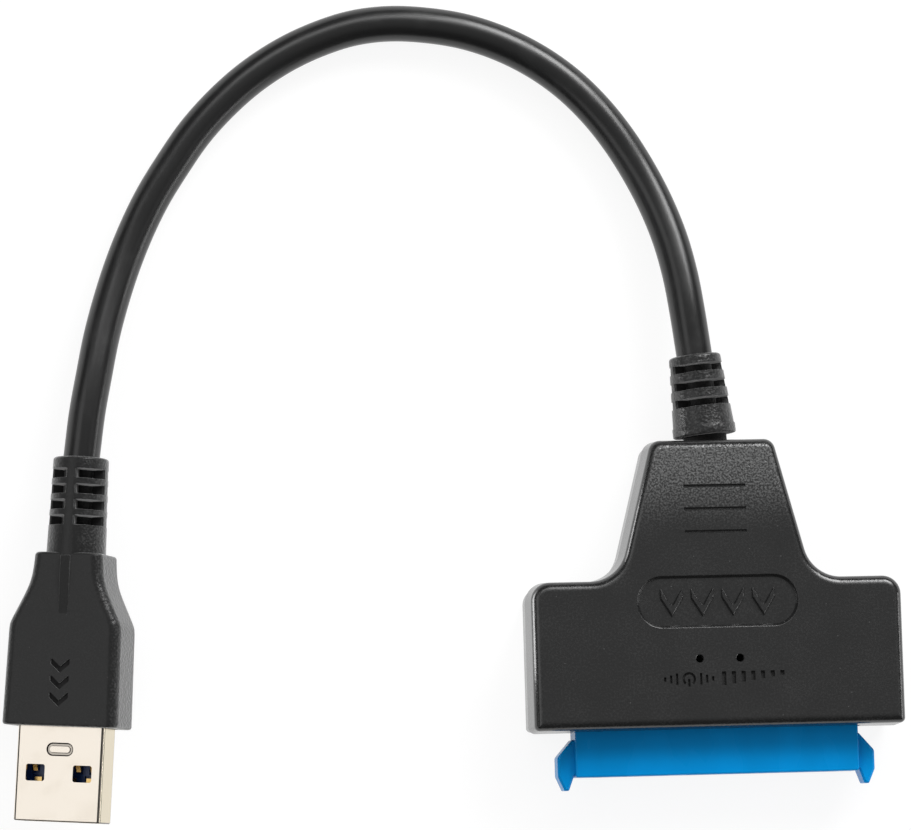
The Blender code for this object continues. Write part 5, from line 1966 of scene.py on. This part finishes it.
@dataclass
class Studio:
    """Camera, white floor, world and lamps."""

    eye: Triple = (-0.102, -0.03045, 0.6122)
    target: Triple = (-0.0335, 0.0272, 0.006)
    twist: float = math.radians(1.595)
    lens: float = 181.946
    sensor: float = 36.0
    nearest: float = 0.01
    floor_size: float = 6.0
    floor_shade: float = 0.16
    floor_bounce: float = 0.8
    floor_glow: Pair = (0.88, 0.97)
    glow_reach: Pair = (0.15, 0.5)
    ambient: float = 0.36
    sky: tuple[Pair, ...] = ((0.0, 0.04), (0.76, 0.06), (0.93, 0.24), (1.0, 0.27))
    lamps: tuple[Lamp, ...] = (
        Lamp("left_panel", 180, 47, 0.9, (1.1, 0.42), 0.95),
        Lamp("left_card", 178, 0, 0.020, (0.036, 0.011), 2.2, (-0.026, 0.010, 0.0065), 90),
        Lamp("back_panel", 90, 50, 1.0, (0.8, 0.30), 2.4),
        Lamp("corner_panel", 57, 33, 1.0, (0.52, 0.40), 10.8),
        Lamp("right_panel", -8, 45, 1.0, (0.6, 0.30), 0.4),
        Lamp("right_strip", -20, 9, 1.0, (0.9, 0.20), 4.0),
        Lamp("left_strip", 190, 14, 1.0, (0.8, 0.10), 0.8),
    )

    def camera(self) -> None:
        """Place the camera at the photograph's viewing angle."""
        back = (Vector(self.eye) - Vector(self.target)).normalized()
        hint = Vector((math.sin(self.twist), math.cos(self.twist), 0.0))
        right = hint.cross(back).normalized()
        turn = Matrix((right, back.cross(right), back)).transposed().to_4x4()
        data = bpy.data.cameras.new("camera")
        data.lens = self.lens
        data.sensor_width = self.sensor
        data.sensor_fit = "HORIZONTAL"
        data.clip_start = self.nearest
        item = bpy.data.objects.new("camera", data)
        item.matrix_world = Matrix.Translation(self.eye) @ turn
        bpy.context.scene.collection.objects.link(item)
        bpy.context.scene.camera = item

    def floor(self) -> None:
        """Lay a floor that is white to the camera and in reflections and keeps the shadow."""
        shape = bmesh.new()
        bmesh.ops.create_grid(shape, x_segments=1, y_segments=1, size=self.floor_size / 2)
        mesh = bpy.data.meshes.new("floor")
        shape.to_mesh(mesh)
        shape.free()
        item = bpy.data.objects.new("floor", mesh)
        item.location = (MIDDLE[0], MIDDLE[1], -HAIR)
        bpy.context.scene.collection.objects.link(item)
        material, graph = Graph.of_material("floor_white")
        paper = graph.node("ShaderNodeBsdfDiffuse", {"Color": grey(self.floor_bounce)})
        shaded = graph.node("ShaderNodeBsdfDiffuse", {"Color": grey(self.floor_shade)})
        away = graph.node(
            "ShaderNodeVectorMath", {0: graph.place()}, output="Value", operation="LENGTH"
        ).between(*self.glow_reach)
        near, far = self.floor_glow
        glow = graph.node("ShaderNodeEmission", {"Color": away.blend(grey(near), grey(far))})
        white = graph.node("ShaderNodeEmission", {"Color": grey(1.0), "Strength": 1.0})
        seen = graph.node("ShaderNodeAddShader", {0: shaded, 1: glow})
        first = graph.node("ShaderNodeMixShader", {0: graph.ray("Camera"), 1: paper, 2: seen})
        bright = graph.ray("Glossy") + graph.ray("Transmission")
        mirrored = graph.node("ShaderNodeMixShader", {0: bright, 1: first, 2: white})
        graph.node("ShaderNodeOutputMaterial", {"Surface": mirrored})
        mesh.materials.append(material)

    def world(self) -> None:
        """Set a world that is white to the camera and dark near the horizon in reflections."""
        world = bpy.data.worlds.new("studio")
        world.use_nodes = True
        bpy.context.scene.world = world
        graph = Graph(world.node_tree)
        height = graph.part(graph.place("Generated"), "Z")
        stops = [(place, grey(tone)) for place, tone in self.sky]
        ramp = graph.node("ShaderNodeValToRGB", {"Fac": height}, stops=stops)
        ambient = graph.ray("Glossy").blend(grey(self.ambient), ramp)
        seen = graph.ray("Camera") + graph.ray("Transmission")
        colour = seen.blend(ambient, grey(1.0))
        background = graph.node("ShaderNodeBackground", {"Color": colour, "Strength": 1.0})
        graph.node("ShaderNodeOutputWorld", {"Surface": background})

    def build(self) -> None:
        """Set up the whole stage."""
        self.camera()
        self.floor()
        self.world()
        for lamp in self.lamps:
            lamp.hang()
        bpy.context.scene.view_settings.view_transform = "Standard"
        LOG.info("studio: camera, floor, world and %d lamps", len(self.lamps))


def main() -> None:
    """Build the studio and every piece, then note the sizes."""
    logging.basicConfig(level=logging.INFO, format="%(name)s %(message)s")
    layout = Layout()
    Studio().build()
    Housing().dress(layout)
    DriveConnector().dress(layout)
    relief = HousingRelief()
    sleeve = relief.dress(layout)
    overmould = Plug().dress(layout)
    Electronics(frame["nodes"]).dress()
    on_cord = [sleeve, overmould, bpy.data.objects["shell"]]
    on_cord += [
        frame["nodes"][name] for name in frame["nodes"]
        if name.startswith(("plug_contact", "plug_rear_contact", "plug_insulator", "plug_inner"))
    ]
    Cord().dress(layout, relief, on_cord)


if __name__ == "__main__":
    main()
